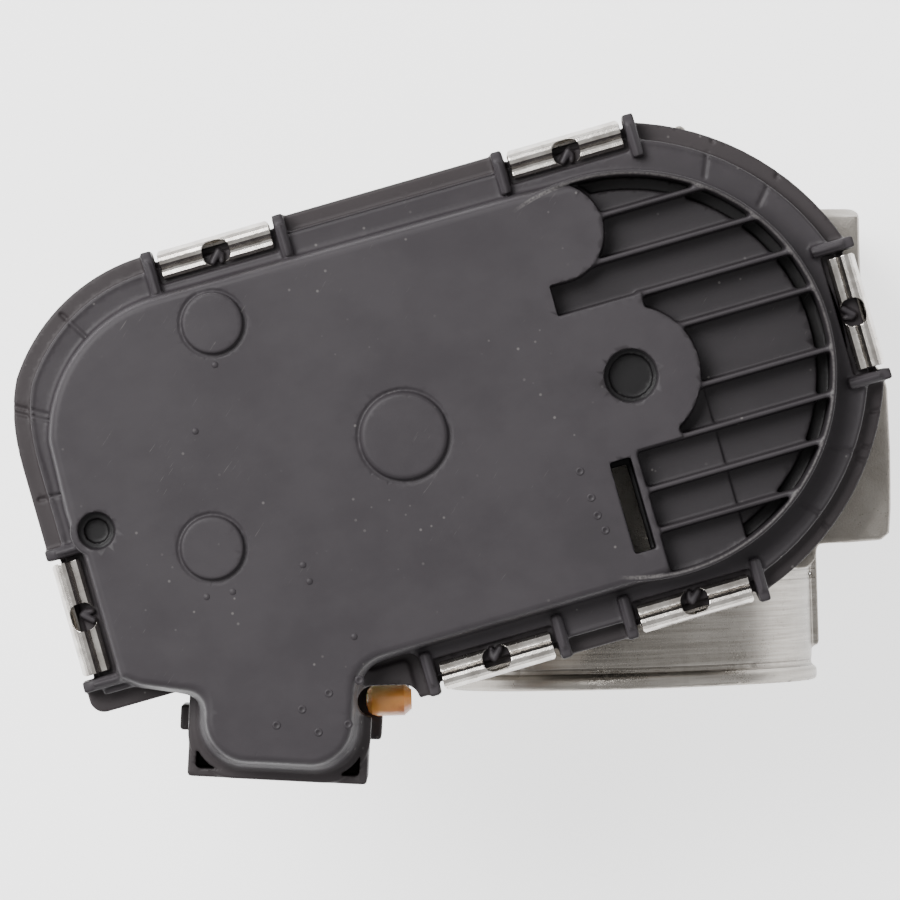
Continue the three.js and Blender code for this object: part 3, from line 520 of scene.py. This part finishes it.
def chamberPoints():
    c = chamber
    low = math.degrees(math.asin((c["bottom"] - c["endY"]) / c["endRadius"]))
    high = math.degrees(math.asin((c["top"] + c["endY"]) / c["endRadius"]))
    middle = math.degrees(math.asin(c["endY"] / c["endRadius"]))
    motorRadius = c["top"] - motorCentre[1]
    left = 180 - math.degrees(math.acos((motorCentre[0] - c["left"]) / motorRadius))
    start, corner = arc(*motorCentre, motorRadius, left - 12, left, 1)
    end = (c["left"], corner[1] - 9)
    rounded = [
        tuple(a * (1 - t) ** 2 + 2 * b * t * (1 - t) + d * t * t for a, b, d in zip(start, corner, end))
        for t in np.linspace(0.125, 1, 8)
    ]
    return (
        [(-50.4, c["bottom"])]
        + arc(c["endX"], c["endY"], c["endRadius"], low, -middle, 20)
        + arc(c["endX"], -c["endY"], c["endRadius"], middle, high, 20)[1:]
        + arc(*motorCentre, motorRadius, 90, left - 12, 18) + rounded
        + [(c["left"], -28.2)] + arc(c["left"] + 2.6, -27.9, 2.6, 180, 262, 6)[1:]
        + [(-88.5, -30.5), (-57, -37.6), (-50.4, -37.6)]
    )


clips = [  # centre on the gear side and quarter turns from facing right
    {"node": "cover_clip_top_left", "x": -62.0, "y": 40.1, "facing": 1},
    {"node": "cover_clip_top_right", "x": 0.0, "y": 40.1, "facing": 1},
    {"node": "cover_clip_left", "x": -101.2, "y": -13.8, "facing": 2},
    {"node": "cover_clip_bottom_left", "x": -35.1, "y": -40.3, "facing": 3},
    {"node": "cover_clip_bottom_right", "x": 0.0, "y": -40.3, "facing": 3},
    {"node": "cover_clip_right", "x": 39.9, "y": 0.0, "facing": 0},
]


def besideClip(grid, clip):
    return turned(grid, clip["x"], clip["y"], (clip["facing"] - 1) * math.pi / 2)


# Gear cover
cover = {
    "base": 45.4, "band": 48.3, "ledge": 51.0, "ledgeInset": 2.9, "top": 57.0, "under": 54.6,
    "left": -98.2, "plateauTop": 35.4, "bottom": -35.0, "endRadius": 25.3, "slope": 0.13,
    "recessRadius": 34.0, "rimWall": 0.8, "recessFloor": 52.4, "gutter": 50.6,
    "ribHalf": 0.55, "ribTop": 56.6,
    "ribs": [(27.5, 2), (20.1, -1.2), (12.9, 4.8), (5.9, 9.8), (-4.8, 10.4), (-12.3, -3), (-19.5, -3),
             (-26.6, -3)],  # height across the cover, and where each one starts
    "lug": 1.9, "bayHalf": 10.7, "lugTop": 52.6,
    "shroudHalf": 15.35, "shroudDepth": 11.6, "mouth": 24.0, "wall": 1.4,
    "step": 0.3, "faces": 190000,
}


def neck(grid, half, base, corner, top):
    return rect(grid, -half, half, base, top, corner)


def coverMesh():
    c = cover
    block = Volume((-105.5, -66.0, 22.5), (44.8, 44.6, 58.6), c["step"])
    grid = block.across()
    outline = polygon(grid, chamberPoints())
    socket = turned(grid, *connectorPlace, connectorTurn)
    rim = c["recessRadius"] + c["rimWall"]
    plateau = polygon(grid, (
        arc(0, 0, rim, -90, 90, 40) + [(-10, c["plateauTop"])]
        + arc(*motorCentre, c["endRadius"], 90, 165.7, 16)
        + [(c["left"] - 1.0, motorCentre[1] - 6), (c["left"] - 0.9, -2), (c["left"], -3.2)]
        + [(c["left"], -25.8), (-94.7, -28.3), (-88.4, -31.0), (-80, -33), (-60, c["bottom"])]
    ))
    raisedPart = softMin(plateau, neck(socket, 13.3, 2.3, 8.0, 30), 5.0)

    # flange band, ledge and plateau
    block.add(outline, c["base"], c["band"], edge=0.35)
    block.add(outline + c["ledgeInset"], c["base"], c["ledge"], edge=0.25, blend=0.2)
    block.add(np.abs(outline + c["ledgeInset"] + 0.45) - 0.3, c["ledge"] - 1, c["ledge"] + 0.22, edge=0.2)

    # connector: shroud, latches, corner gussets and the stepped neck
    half, depth = c["shroudHalf"], c["shroudDepth"]
    block.add(rect(socket, -half, half, 0, depth, 0.7), c["mouth"], 48.6, edge=0.3)
    for side in (-1, 1):
        block.add(rect(socket, side * half - 2, side * half + 2, 7.4, 11.8, 0.5), c["mouth"] + 2, 37.5)
    block.add(neck(socket, half + 0.25, 0, 8, 24), c["base"], 49, edge=0.3, blend=0.2)
    block.add(neck(socket, 14.4, 1.3, 8.4, 26), 48, 52.5, edge=0.9, slope=0.3, blend=1.0)
    block.add(raisedPart, c["ledge"] - 1.5, c["top"], edge=1.1, slope=c["slope"], blend=0.7)
    inside = rect(socket, c["wall"] - half, half - c["wall"], c["wall"], depth - c["wall"], 0.8)
    floorPart = neck(socket, half - 0.6, 0.8, 7.4, 24)
    block.cut(inside, c["mouth"] - 3, 39.5, edge=0.2)
    block.cut(np.maximum(inside, -floorPart), 41, 52, edge=0.1)
    block.add(rect(grid, -62.5, -51, -43.5, -36.5, 1.0), 34.6, 37.2, edge=0.3)

    # clip bays and their lugs
    for clip in clips:
        spot = besideClip(grid, clip)
        bay = c["bayHalf"]
        block.cut(rect(spot, -bay, bay, 0.9, 9), c["base"] - 3, c["top"] + 3, edge=0.1)
        block.cut(rect(spot, -bay, bay, -3.2, 2.0, 0.3), 49.6, c["top"] + 3, edge=0.2)
        for side in (-1, 1):
            middle = side * (bay + c["lug"] / 2)
            lug = rect(spot, middle - c["lug"] / 2, middle + c["lug"] / 2, -4.6, 2.9, 0.3)
            block.add(lug, c["base"], c["lugTop"], edge=0.25, blend=0.5)
            crest = rect(spot, middle - 0.45, middle + 0.45, -4.6, 1.2, 0.2)
            block.add(crest, 52, c["lugTop"] + 0.5, edge=0.2, blend=0.4)
        block.add(stroke(spot, -1.0, -1.9, 0.4, -0.3, 0.55), 49, 51.0, edge=0.3, blend=0.4)
        block.add(stroke(spot, 0.5, -2.2, 0.9, -0.9, 0.4), 49, 50.7, edge=0.3, blend=0.4)

    # open area with ribs beside the shaft
    disc = circle(grid, 0, 0, c["recessRadius"])
    kept = [
        rect(grid, -60, -5.9, 18.3, 60), rect(grid, -60, -9.0, 0, 19), rect(grid, -60, 5.6, -12.4, 13.2),
        rect(grid, -60, -2.5, -60, -12), circle(grid, -5.9, 26.8, 8.6), circle(grid, 0, 0, 12),
    ]
    keep = kept[0]
    for flat in kept[1:]:
        keep = np.minimum(keep, flat)
    recess = np.maximum(disc, -keep)
    block.cut(recess, c["recessFloor"], c["top"] + 3, edge=0.35, slope=-0.03)
    gutter = np.maximum(circle(grid, 0, 0, c["recessRadius"] - 0.1), -circle(grid, 0, 0, 31.7))
    block.cut(np.maximum(gutter, -keep + 0.6), c["gutter"], c["top"], edge=0.3)
    pad = np.maximum(circle(grid, 0, 0, 34.4), -circle(grid, 0, 0, 11))
    pad = np.maximum(rect(grid, -2.5, 11.4, -36, -4.8), pad)
    block.add(pad, c["recessFloor"] - 1, c["recessFloor"] + 0.5, edge=0.2)
    wall = np.maximum(np.maximum(circle(grid, 0, 0, 35.1), -circle(grid, 0, 0, 34.0)), -10.0 - grid[0])
    block.add(wall, c["ledge"] - 1.5, c["top"] - 0.1, edge=0.3, slope=0.02, blend=0.3)
    for y, start in c["ribs"]:
        reach = math.sqrt((c["recessRadius"] + 0.3) ** 2 - y * y)
        rib = rect(grid, start, reach, y - c["ribHalf"], y + c["ribHalf"])
        block.add(rib, c["recessFloor"] - 1, c["ribTop"], edge=0.3, slope=0.03, blend=0.7)
    block.cut(rect(grid, -7.6, -3.9, -29.3, -13.2, 0.2), 50.8, c["top"] + 3, edge=0.2)
    for y in (-16, -20.3, -24.2, -27.6):
        block.add(circle(grid, -5.9, y, 0.5), 50, 51.3, edge=0.3)

    # raised discs, holes, ejector marks and seams
    for x, y, radius, bevel in ((-65.8, 28.1, 5.2, 0.5), (-76.3, -8.5, 5.4, 0.5), (-39.8, 0.8, 7.5, 0.9)):
        ring = np.abs(circle(grid, x, y, radius + 0.25)) - 0.3
        block.cut(ring, c["top"] - 0.3, c["top"] + 2, edge=0.15, blend=0.2)
        block.add(circle(grid, x, y, radius), c["top"] - 1, c["top"] + 0.95, edge=bevel, blend=0.1)
    seams = [
        (-90.3, 36.8, -87.3, 31.9), (-102.6, 24.1, -97.1, 21.0), (-102.6, 22.9, -97.1, 19.9),
        (-102.6, 7.5, -98.8, 7.3), (23.2, 33.1, 21.5, 29.2), (31.4, 24.6, 29.1, 22.0),
        (29.2, -20.8, 33.1, -22.9), (21.7, -28.5, 24.6, -31.4), (24.6, 34.7, 26.5, 38.0),
        (33.4, 25.8, 36.5, 28.6), (33.1, -24.1, 35.8, -25.6), (24.6, -33.1, 26.2, -35.4),
        (37.8, -17.1, 41.8, -17.6), (34.9, -22.4, 38.6, -24.6),
    ]
    for seam in seams:
        groove = stroke(grid, *seam, 0.28)
        block.cut(groove, 50.7, 52.5, edge=0.1, blend=0.3)
        block.cut(np.maximum(groove, -outline - 2.4), 47.95, 49.5, edge=0.1, blend=0.3)
    block.cut(rect(grid, -50.5, -12.5, 39.3, 39.55), 50.5, 52, edge=0.05)

    # vent notch and the inside
    block.add(rect(grid, -61, -49.8, -42.4, -36, 1.0), c["base"], c["band"] + 0.6, edge=0.4, blend=0.6)
    block.cut(stroke(grid, -57.4, -41.3, -52.3, -42.6, 2.7), c["base"] - 3, 53.2, edge=0.3)
    block.cut(outline + 6.5, c["base"] - 3, 50.0, edge=0.3)
    hollow = np.maximum(plateau + 2.8, -(recess - 2.3))
    block.cut(hollow, c["base"] - 3, c["under"], edge=0.5)
    block.cut(neck(socket, 10.2, 7.5, 4.5, 24), 48, c["under"], edge=0.4)
    for x, y, outer, inner in ((0, 0, 4.5, 3.7), (-94.4, -0.3, 3.1, 2.1)):
        block.add(circle(grid, x, y, outer + 1.4), c["under"] - 1, c["top"] - 0.3, edge=0.2)
        block.cut(circle(grid, x, y, outer), c["top"] - 1.5, c["top"] + 3, edge=0.3, slope=-0.06)
        block.cut(circle(grid, x, y, inner), c["under"] - 0.2, c["top"], edge=0.2)
    for x in (-9.5, -5.7, -1.9, 1.9, 5.7, 9.5):
        block.cut(rect(socket, x - 0.75, x + 0.75, 4.75, 7.45), 43, 47.5, edge=0.05)
    return block.skin("cover_shell", gearFrame, c["faces"])


moulding = {  # small ejector pips and rings standing on the cover's top
    "pips": [(-67.3, 21.2), (-73.6, 11.3), (-79.5, -16.2), (-75.0, -16.6), (-62.3, -15.5),
             (-62.0, -18.5), (-57.3, -29.6)],
    "rings": [(-58.5, -36.9), (-12.8, -13.2), (-12.2, -18), (-11.4, -24), (-74.1, -40.4),
              (-69.2, -39.0), (-64.1, -37.6), (-67.6, -43.5), (-62.4, -43.6), (-12.0, -21.2)],
    "pip": [(0, 0.22), (0.28, 0.2), (0.5, 0.1), (0.68, -0.08)],
    "ring": [(0, 0.02), (0.3, 0.01), (0.42, 0.13), (0.58, 0.14), (0.7, 0.06), (0.82, -0.08)],
}


def addMarks(shell):
    joined = bmesh.new()
    joined.from_mesh(shell.data)
    for kind, profile in (("pips", "pip"), ("rings", "ring")):
        for x, y in moulding[kind]:
            place = gearFrame @ Matrix.Translation((x, y, cover["top"]))
            mark = lathe("mark", moulding[profile], place, 20)
            mark.data.shade_smooth()
            joined.from_mesh(mark.data)
            bpy.data.objects.remove(mark)
    joined.to_mesh(shell.data)
    joined.free()


coverShell = coverMesh()
addMarks(coverShell)
dress(coverShell, "black_plastic", "housing", "gear_cover")
print("gear cover:", len(coverShell.data.polygons), "faces")


# Housing
housing = {
    "bore": 28.5, "tube": 31.8, "lip": 32.6, "hoseEnd": -54.0, "lipEnd": -51.5, "face": 27.6,
    "flangeHalf": 39.9, "flangeThickness": 5.7, "rest": -39.0,
    "floorUnder": 36.0, "floor": 39.0, "rim": 45.0,
    "boltX": 34.0, "boltZ": 30.0, "bolt": 3.3, "pocket": 20.7, "pocketLow": -19.5, "pocketInner": 18.2,
    "bearing": 7.3, "seal": 35.6, "sealGroove": 2.2, "step": 0.45, "faces": 190000,
    "column": [(25, -30.2), (42.6, -29.4), (44.1, -28.2), (44.5, -24), (44.7, -14), (44.5, -3),
               (43.4, 0), (40.6, 2), (40.4, 26.6), (25, 26.6)],  # seen from above, right side
}


def housingMesh():
    h = housing
    block = Volume((-108, -57, -41.5), (48.5, 44.5, 47.5), h["step"])
    top = block.across()
    front = block.across(along=1)
    geared = turned(top, 0, 0, gearTurn)
    outline = polygon(geared, chamberPoints())
    tube = circle(front, 0, 0, h["tube"])
    motor = circle(geared, *motorCentre, h["pocket"])
    pin = circle(geared, *pinCentre, 7)

    # casting
    block.add(tube, h["hoseEnd"] + 1, h["face"], edge=0.4, along=1)
    half = h["flangeHalf"]
    flange = rect(front, -half, half, h["rest"], h["floorUnder"], 8)
    block.add(flange, h["face"] - h["flangeThickness"], h["face"], edge=0.7, along=1, blend=2.5)
    for side in (-1, 1):
        column = polygon(top, [(side * x, y) for x, y in h["column"]])
        for low, high in ((h["rest"], -20), (20, 37.5)):
            block.add(column, low, high, edge=0.9, blend=3.0)
        web = rect(front, side * 37 - 1.4, side * 37 + 1.4, -24, 24)
        block.add(web, 19.5, 23, edge=0.6, along=1, blend=3)
        web = rect(top, side * 37.5 - 1.5, side * 37.5 + 1.5, 12, 25)
        block.add(web, -25, 25, edge=0.7, blend=2.5)
    block.add(circle(top, 0, 0, 11), h["rest"], -26, edge=0.8, blend=3.5)
    block.add(circle(top, 0, 0, 12), 26, h["floor"], edge=0.5, blend=3)
    block.add(outline + 4.7, h["floorUnder"], h["rim"], edge=0.8, blend=1.5)
    block.add(outline + 1.7, 42, h["rim"], edge=0.4, blend=0.8)
    block.add(motor, h["pocketLow"], h["floor"], edge=3.0, blend=3.0)
    block.add(pin, 28.5, h["floor"], edge=0.8, blend=2)
    for y0, y1, low in ((2, 6, -12), (-12, -8, 8)):
        block.add(rect(geared, -60, -24, y0, y1), low, 37, edge=0.9, blend=3)
    ribs = [
        (-86, -25, -60, -33), (-97, 8, -88, 8), (-93, 24, -84, 17), (-58, 31, -66, 22), (-44, 22, -27, 34),
        (12, 26, 20, 38), (-12, 26, -16, 36), (10, -30, 14, -38), (-30, -30, -34, -38),
    ]
    for rib in ribs:
        block.add(stroke(geared, *rib, 1.2), 27.5, 37, edge=0.8, blend=2.2)
    block.add(stroke(geared, -92.5, -19, -46, -31, 1.3), 29, 37, edge=0.8, blend=2.2)
    for x in (-24, 0, 24):
        block.add(rect(front, x - 1.3, x + 1.3, 20, 36.5), -26, 26, edge=0.7, along=1, blend=2.2)
    for side in (-1, 1):
        block.add(rect(front, side * 31, side * 33.2, -0.5, 0.5), -48, 26, edge=0.3, along=1, blend=1.2)
    for x, y in ((-62, -20), (-90, -8), (-52, 16), (-20, 37), (20, -37)):
        block.add(circle(geared, x, y, 3), 33.5, 37, edge=0.4, blend=1.0)

    # machining
    block.add(circle(front, 0, 0, h["lip"]), h["hoseEnd"], h["lipEnd"], edge=0.7, along=1)
    for y in (-50.6, -35.4):
        groove = np.maximum(tube - 0.4, -(tube + 0.25))
        block.cut(groove, y - 0.22, y + 0.22, edge=0.05, along=1)
    bore = circle(front, 0, 0, h["bore"])
    block.cut(bore, h["hoseEnd"] - 3, h["face"] + 3, edge=0, along=1)
    block.cut(bore - 1.6, h["hoseEnd"] - 3, h["hoseEnd"] + 1.4, edge=1.2, along=1, slope=0.8)
    block.cut(bore - 0.5, h["face"] - 0.6, h["face"] + 3, edge=0.1, along=1)
    for side in (-1, 1):
        for level in (-1, 1):
            hole = circle(front, side * h["boltX"], level * h["boltZ"], h["bolt"])
            block.cut(hole, -40, 40, edge=0, along=1)
            block.cut(hole - 3.4, -34, -29.5, edge=0.3, along=1)
            block.cut(hole - 0.6, h["face"] - 0.6, h["face"] + 3, edge=0.1, along=1)
    block.cut(outline + 6.2, h["floor"], h["rim"] + 4, edge=0.6)
    groove = np.maximum(outline + 3.2, -(outline + 4.6))
    block.cut(groove, h["rim"] - 1, h["rim"] + 3, edge=0.1)
    for x, y, radius, low in ((0, 0, 4.3, -50), (0, 0, h["bearing"], 29)):
        block.cut(circle(top, x, y, radius), low, h["rim"] + 4, edge=0.1)
    block.cut(circle(top, 0, 0, h["bearing"]), h["rest"] - 4, -29, edge=0.1)
    block.cut(circle(top, 0, 0, h["bearing"] + 0.7), h["rest"] - 4, h["rest"] + 0.7, edge=0.1)
    block.cut(motor + (h["pocket"] - h["pocketInner"]), -17, h["floor"] + 4, edge=0.8)
    block.cut(circle(geared, *motorCentre, 5), h["pocketLow"] - 3, h["pocketLow"] + 0.8, edge=0.3)
    ring = np.abs(circle(front, 0, 0, h["seal"])) - 1.55
    block.cut(ring, h["face"] - h["sealGroove"], h["face"] + 3, edge=0.1, along=1)
    for clip in clips:
        bay = rect(besideClip(geared, clip), -11, 11, 1.1, 8)
        block.cut(bay, h["floor"] + 0.5, h["rim"] + 3, edge=0.1)
    block.cut(circle(geared, 20 * math.cos(1.405), 20 * math.sin(1.405), 2.3), 33, 44, edge=0.1)
    return block.skin("housing_casting", boreFrame, h["faces"])


housingBody = housingMesh()
dress(housingBody, "cast_aluminium", "housing", "throttle_housing")
print("housing:", len(housingBody.data.polygons), "faces")


# Spring clips: one bent sheet, copied to six places
clipShape = {
    "half": 9.85, "step": 0.1, "faces": 22000, "holeX": 2.35, "holeY": (-2.4, 1.6),
    "outside": [(-2.5, 50.2), (-2.35, 51), (-1.85, 51.42), (-1.2, 51.2), (-0.8, 51.25), (-0.25, 51.95),
                (0.1, 52.3), (0.7, 52.45), (1.3, 52.3), (1.8, 51.8), (2.2, 51.0), (2.5, 50), (2.5, 41),
                (2.1, 40.3), (0.2, 40.3), (-0.2, 40.8)],
    "inside": [(0, 41.2), (0.4, 40.9), (1.6, 40.9), (1.9, 41.2), (1.9, 49.8), (1.6, 50.7), (1.2, 51.4),
               (0.7, 51.85), (0.1, 51.5), (-0.35, 50.8), (-0.8, 50.55), (-1.3, 50.5), (-1.7, 50.8),
               (-1.95, 50.2)],
}


def clipMesh():
    c = clipShape
    half = c["half"]
    block = Volume((-half - 1, -3.6, 39.6), (half + 1, 3.6, 53.4), c["step"])
    side = block.across(along=0)
    top = block.across()
    section = polygon(side, c["outside"] + c["inside"])
    block.add(section, -half, half, edge=0.12, along=0)
    block.cut(-rect(top, -half, half, -9, 2.6, 0.9), 39, 54, edge=0)
    corner = polygon(top, [(half - 1.6, -4), (half + 1, -4), (half + 1, -0.9)])
    mirrored = polygon(top, [(1.6 - half, -4), (-half - 1, -4), (-half - 1, -0.9)])
    block.cut(np.minimum(corner, mirrored), 39, 54, edge=0.1)
    block.cut(rect(top, -c["holeX"], c["holeX"], *c["holeY"], 1.6), 49, 54, edge=0.05)
    for x in (-6.2, 6.2):
        block.cut(rect(top, x - 0.5, x + 0.5, 1.7, 3.4, 0.3), 43, 48.5, edge=0.05)
    return block.skin("clip_sheet", Matrix.Identity(4), c["faces"])


firstClip = clipMesh()
for clip in clips:
    place = gearFrame @ Matrix.Translation((clip["x"], clip["y"], 0))
    place = place @ Matrix.Rotation((clip["facing"] - 1) * math.pi / 2, 4, "Z")
    piece = bpy.data.objects.new("fine_" + clip["node"], firstClip.data.copy())
    piece.data.transform(place)
    bpy.context.scene.collection.objects.link(piece)
    dress(piece, "clip_steel", "housing", clip["node"])
bpy.data.objects.remove(firstClip)
print("clips:", len(clips))


# Turned pieces
vent = {"x": -42.8, "y": -54.2, "z": 41.0, "radius": 2.8, "half": 3.9}


def ventCapMesh():
    v = vent
    r, half = v["radius"], v["half"]
    profile = [
        (0, -half), (0.9, -half), (1.9, 0.35 - half), (2.5, 1.0 - half), (r, 2.0 - half), (r, -0.5),
        (r, half - 1.3), (r - 0.25, half - 1.0), (r - 0.9, half - 0.25),
        (r - 1.1, half), (0.9, half), (0.8, half - 0.3), (0, half - 0.3),
    ]
    place = boreFrame @ Matrix.Translation((v["x"], v["y"], v["z"])) @ alongX
    cap = lathe("vent_cap_drum", profile, place, 96)
    smooth(cap, 25)
    return cap


valve = {"radius": 28.1, "half": 0.9, "round": 0.35, "ajar": 6}


def plateMesh():
    radius, half, soft = valve["radius"], valve["half"], valve["round"]
    profile = [(0, -half), (radius - soft, -half), (radius, soft - half), (radius, half - soft),
               (radius - soft, half), (0, half)]
    tilt = boreFrame @ Matrix.Rotation(math.radians(valve["ajar"]), 4, "Z") @ alongY
    disc = lathe("valve_plate", profile, tilt, 160)
    smooth(disc, 25)
    return disc


def endPlugMesh(low, high):
    radius = (high.x - low.x) / 2 / mm
    depth = (high.z - low.z) / mm
    profile = [(0, 0.8), (radius - 2.2, 0.8), (radius - 1.5, 0.25), (radius - 0.9, 0), (radius - 0.3, 0.1),
               (radius, 0.5), (radius, depth), (radius - 0.6, depth), (radius - 0.6, 1.3), (0, 1.3)]
    centre = (low + high) / 2
    place = Matrix.Translation((centre.x, centre.y, low.z)) @ Matrix.Scale(mm, 4)
    plug = lathe("end_plug_cup", profile, place, 96)
    smooth(plug, 30)
    return plug


sealRing = {"wire": 1.25, "clear": 0.3}


def sealMesh():
    wire, radius = sealRing["wire"], housing["seal"]
    turn = np.linspace(0, 2 * math.pi, 20, endpoint=False)
    profile = [(radius + wire * math.cos(a), wire * math.sin(a)) for a in turn]
    depth = housing["face"] - housing["sealGroove"] + sealRing["clear"] + wire
    centre = boreFrame @ Matrix.Translation((0, depth, 0)) @ alongY
    seal = lathe("flange_seal_ring", profile, centre, 144, closed=True)
    smooth(seal)
    return seal


dress(ventCapMesh(), "amber_plastic", "housing", "vent_cap")
dress(plateMesh(), "brass", "throttle", "throttle_plate")
dress(endPlugMesh(*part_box("shaft_end_plug")), "steel", "housing", "shaft_end_plug")
dress(sealMesh(), "rubber", "housing", "flange_seal")
print("turned pieces: 4")


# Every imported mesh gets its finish; the pieces without a finer mesh are shown with it
for name, node in frame["nodes"].items():
    node.data.materials.clear()
    node.data.materials.append(finishes[slotOf[name]])


# Floor, light and camera
stageLook = {
    "floorTone": (0.94, 0.94, 0.94), "floorGlow": 1.7, "worldStrength": 0.6,
    "keyPlace": (-0.55, 0.45, 0.9), "keySize": 0.7, "keyPower": 21.0,
    "fillPlace": (0.8, -0.5, 0.7), "fillSize": 0.8, "fillPower": 0.6,
    "cameraPlace": (-0.00029, 0.00012, 1.396), "cameraTurn": -1.7, "lens": 306.8,
}


def studio():
    floorFinish = Finish("pale floor", Emission_Color=(1, 1, 1, 1), Emission_Strength=stageLook["floorGlow"])
    cloud = floorFinish.noise(floorFinish.moved(), 0.01, 2)
    tone = floorFinish.mix(cloud * 0.15, stageLook["floorTone"], (0.96, 0.96, 0.96))
    material = floorFinish.done(tone, cloud * 0.05 + 0.75, cloud, 0.05)
    corners = [(-3, -3, 0), (3, -3, 0), (3, 3, 0), (-3, 3, 0)]
    floor = meshObject("floor", corners, [(0, 1, 2, 3)], Matrix.Identity(4))
    floor.data.materials.append(material)
    world = bpy.data.worlds.new("soft studio")
    world.use_nodes = True
    world.node_tree.nodes["Background"].inputs[0].default_value = (1, 1, 1, 1)
    world.node_tree.nodes["Background"].inputs[1].default_value = stageLook["worldStrength"]
    bpy.context.scene.world = world
    for name in ("key", "fill"):
        spot = stageLook[name + "Place"]
        light = bpy.data.lights.new(name, "AREA")
        light.size, light.energy = stageLook[name + "Size"], stageLook[name + "Power"]
        lamp = bpy.data.objects.new(name, light)
        lamp.location = spot
        lamp.rotation_euler = (Vector((0, 0, 0.05)) - Vector(spot)).to_track_quat("-Z", "Y").to_euler()
        bpy.context.scene.collection.objects.link(lamp)
    lens = bpy.data.cameras.new("camera")
    lens.lens = stageLook["lens"]
    lens.clip_end = 20
    camera = bpy.data.objects.new("camera", lens)
    camera.location = stageLook["cameraPlace"]
    camera.rotation_euler = (0, 0, math.radians(stageLook["cameraTurn"]))
    bpy.context.scene.collection.objects.link(camera)
    bpy.context.scene.camera = camera


studio()
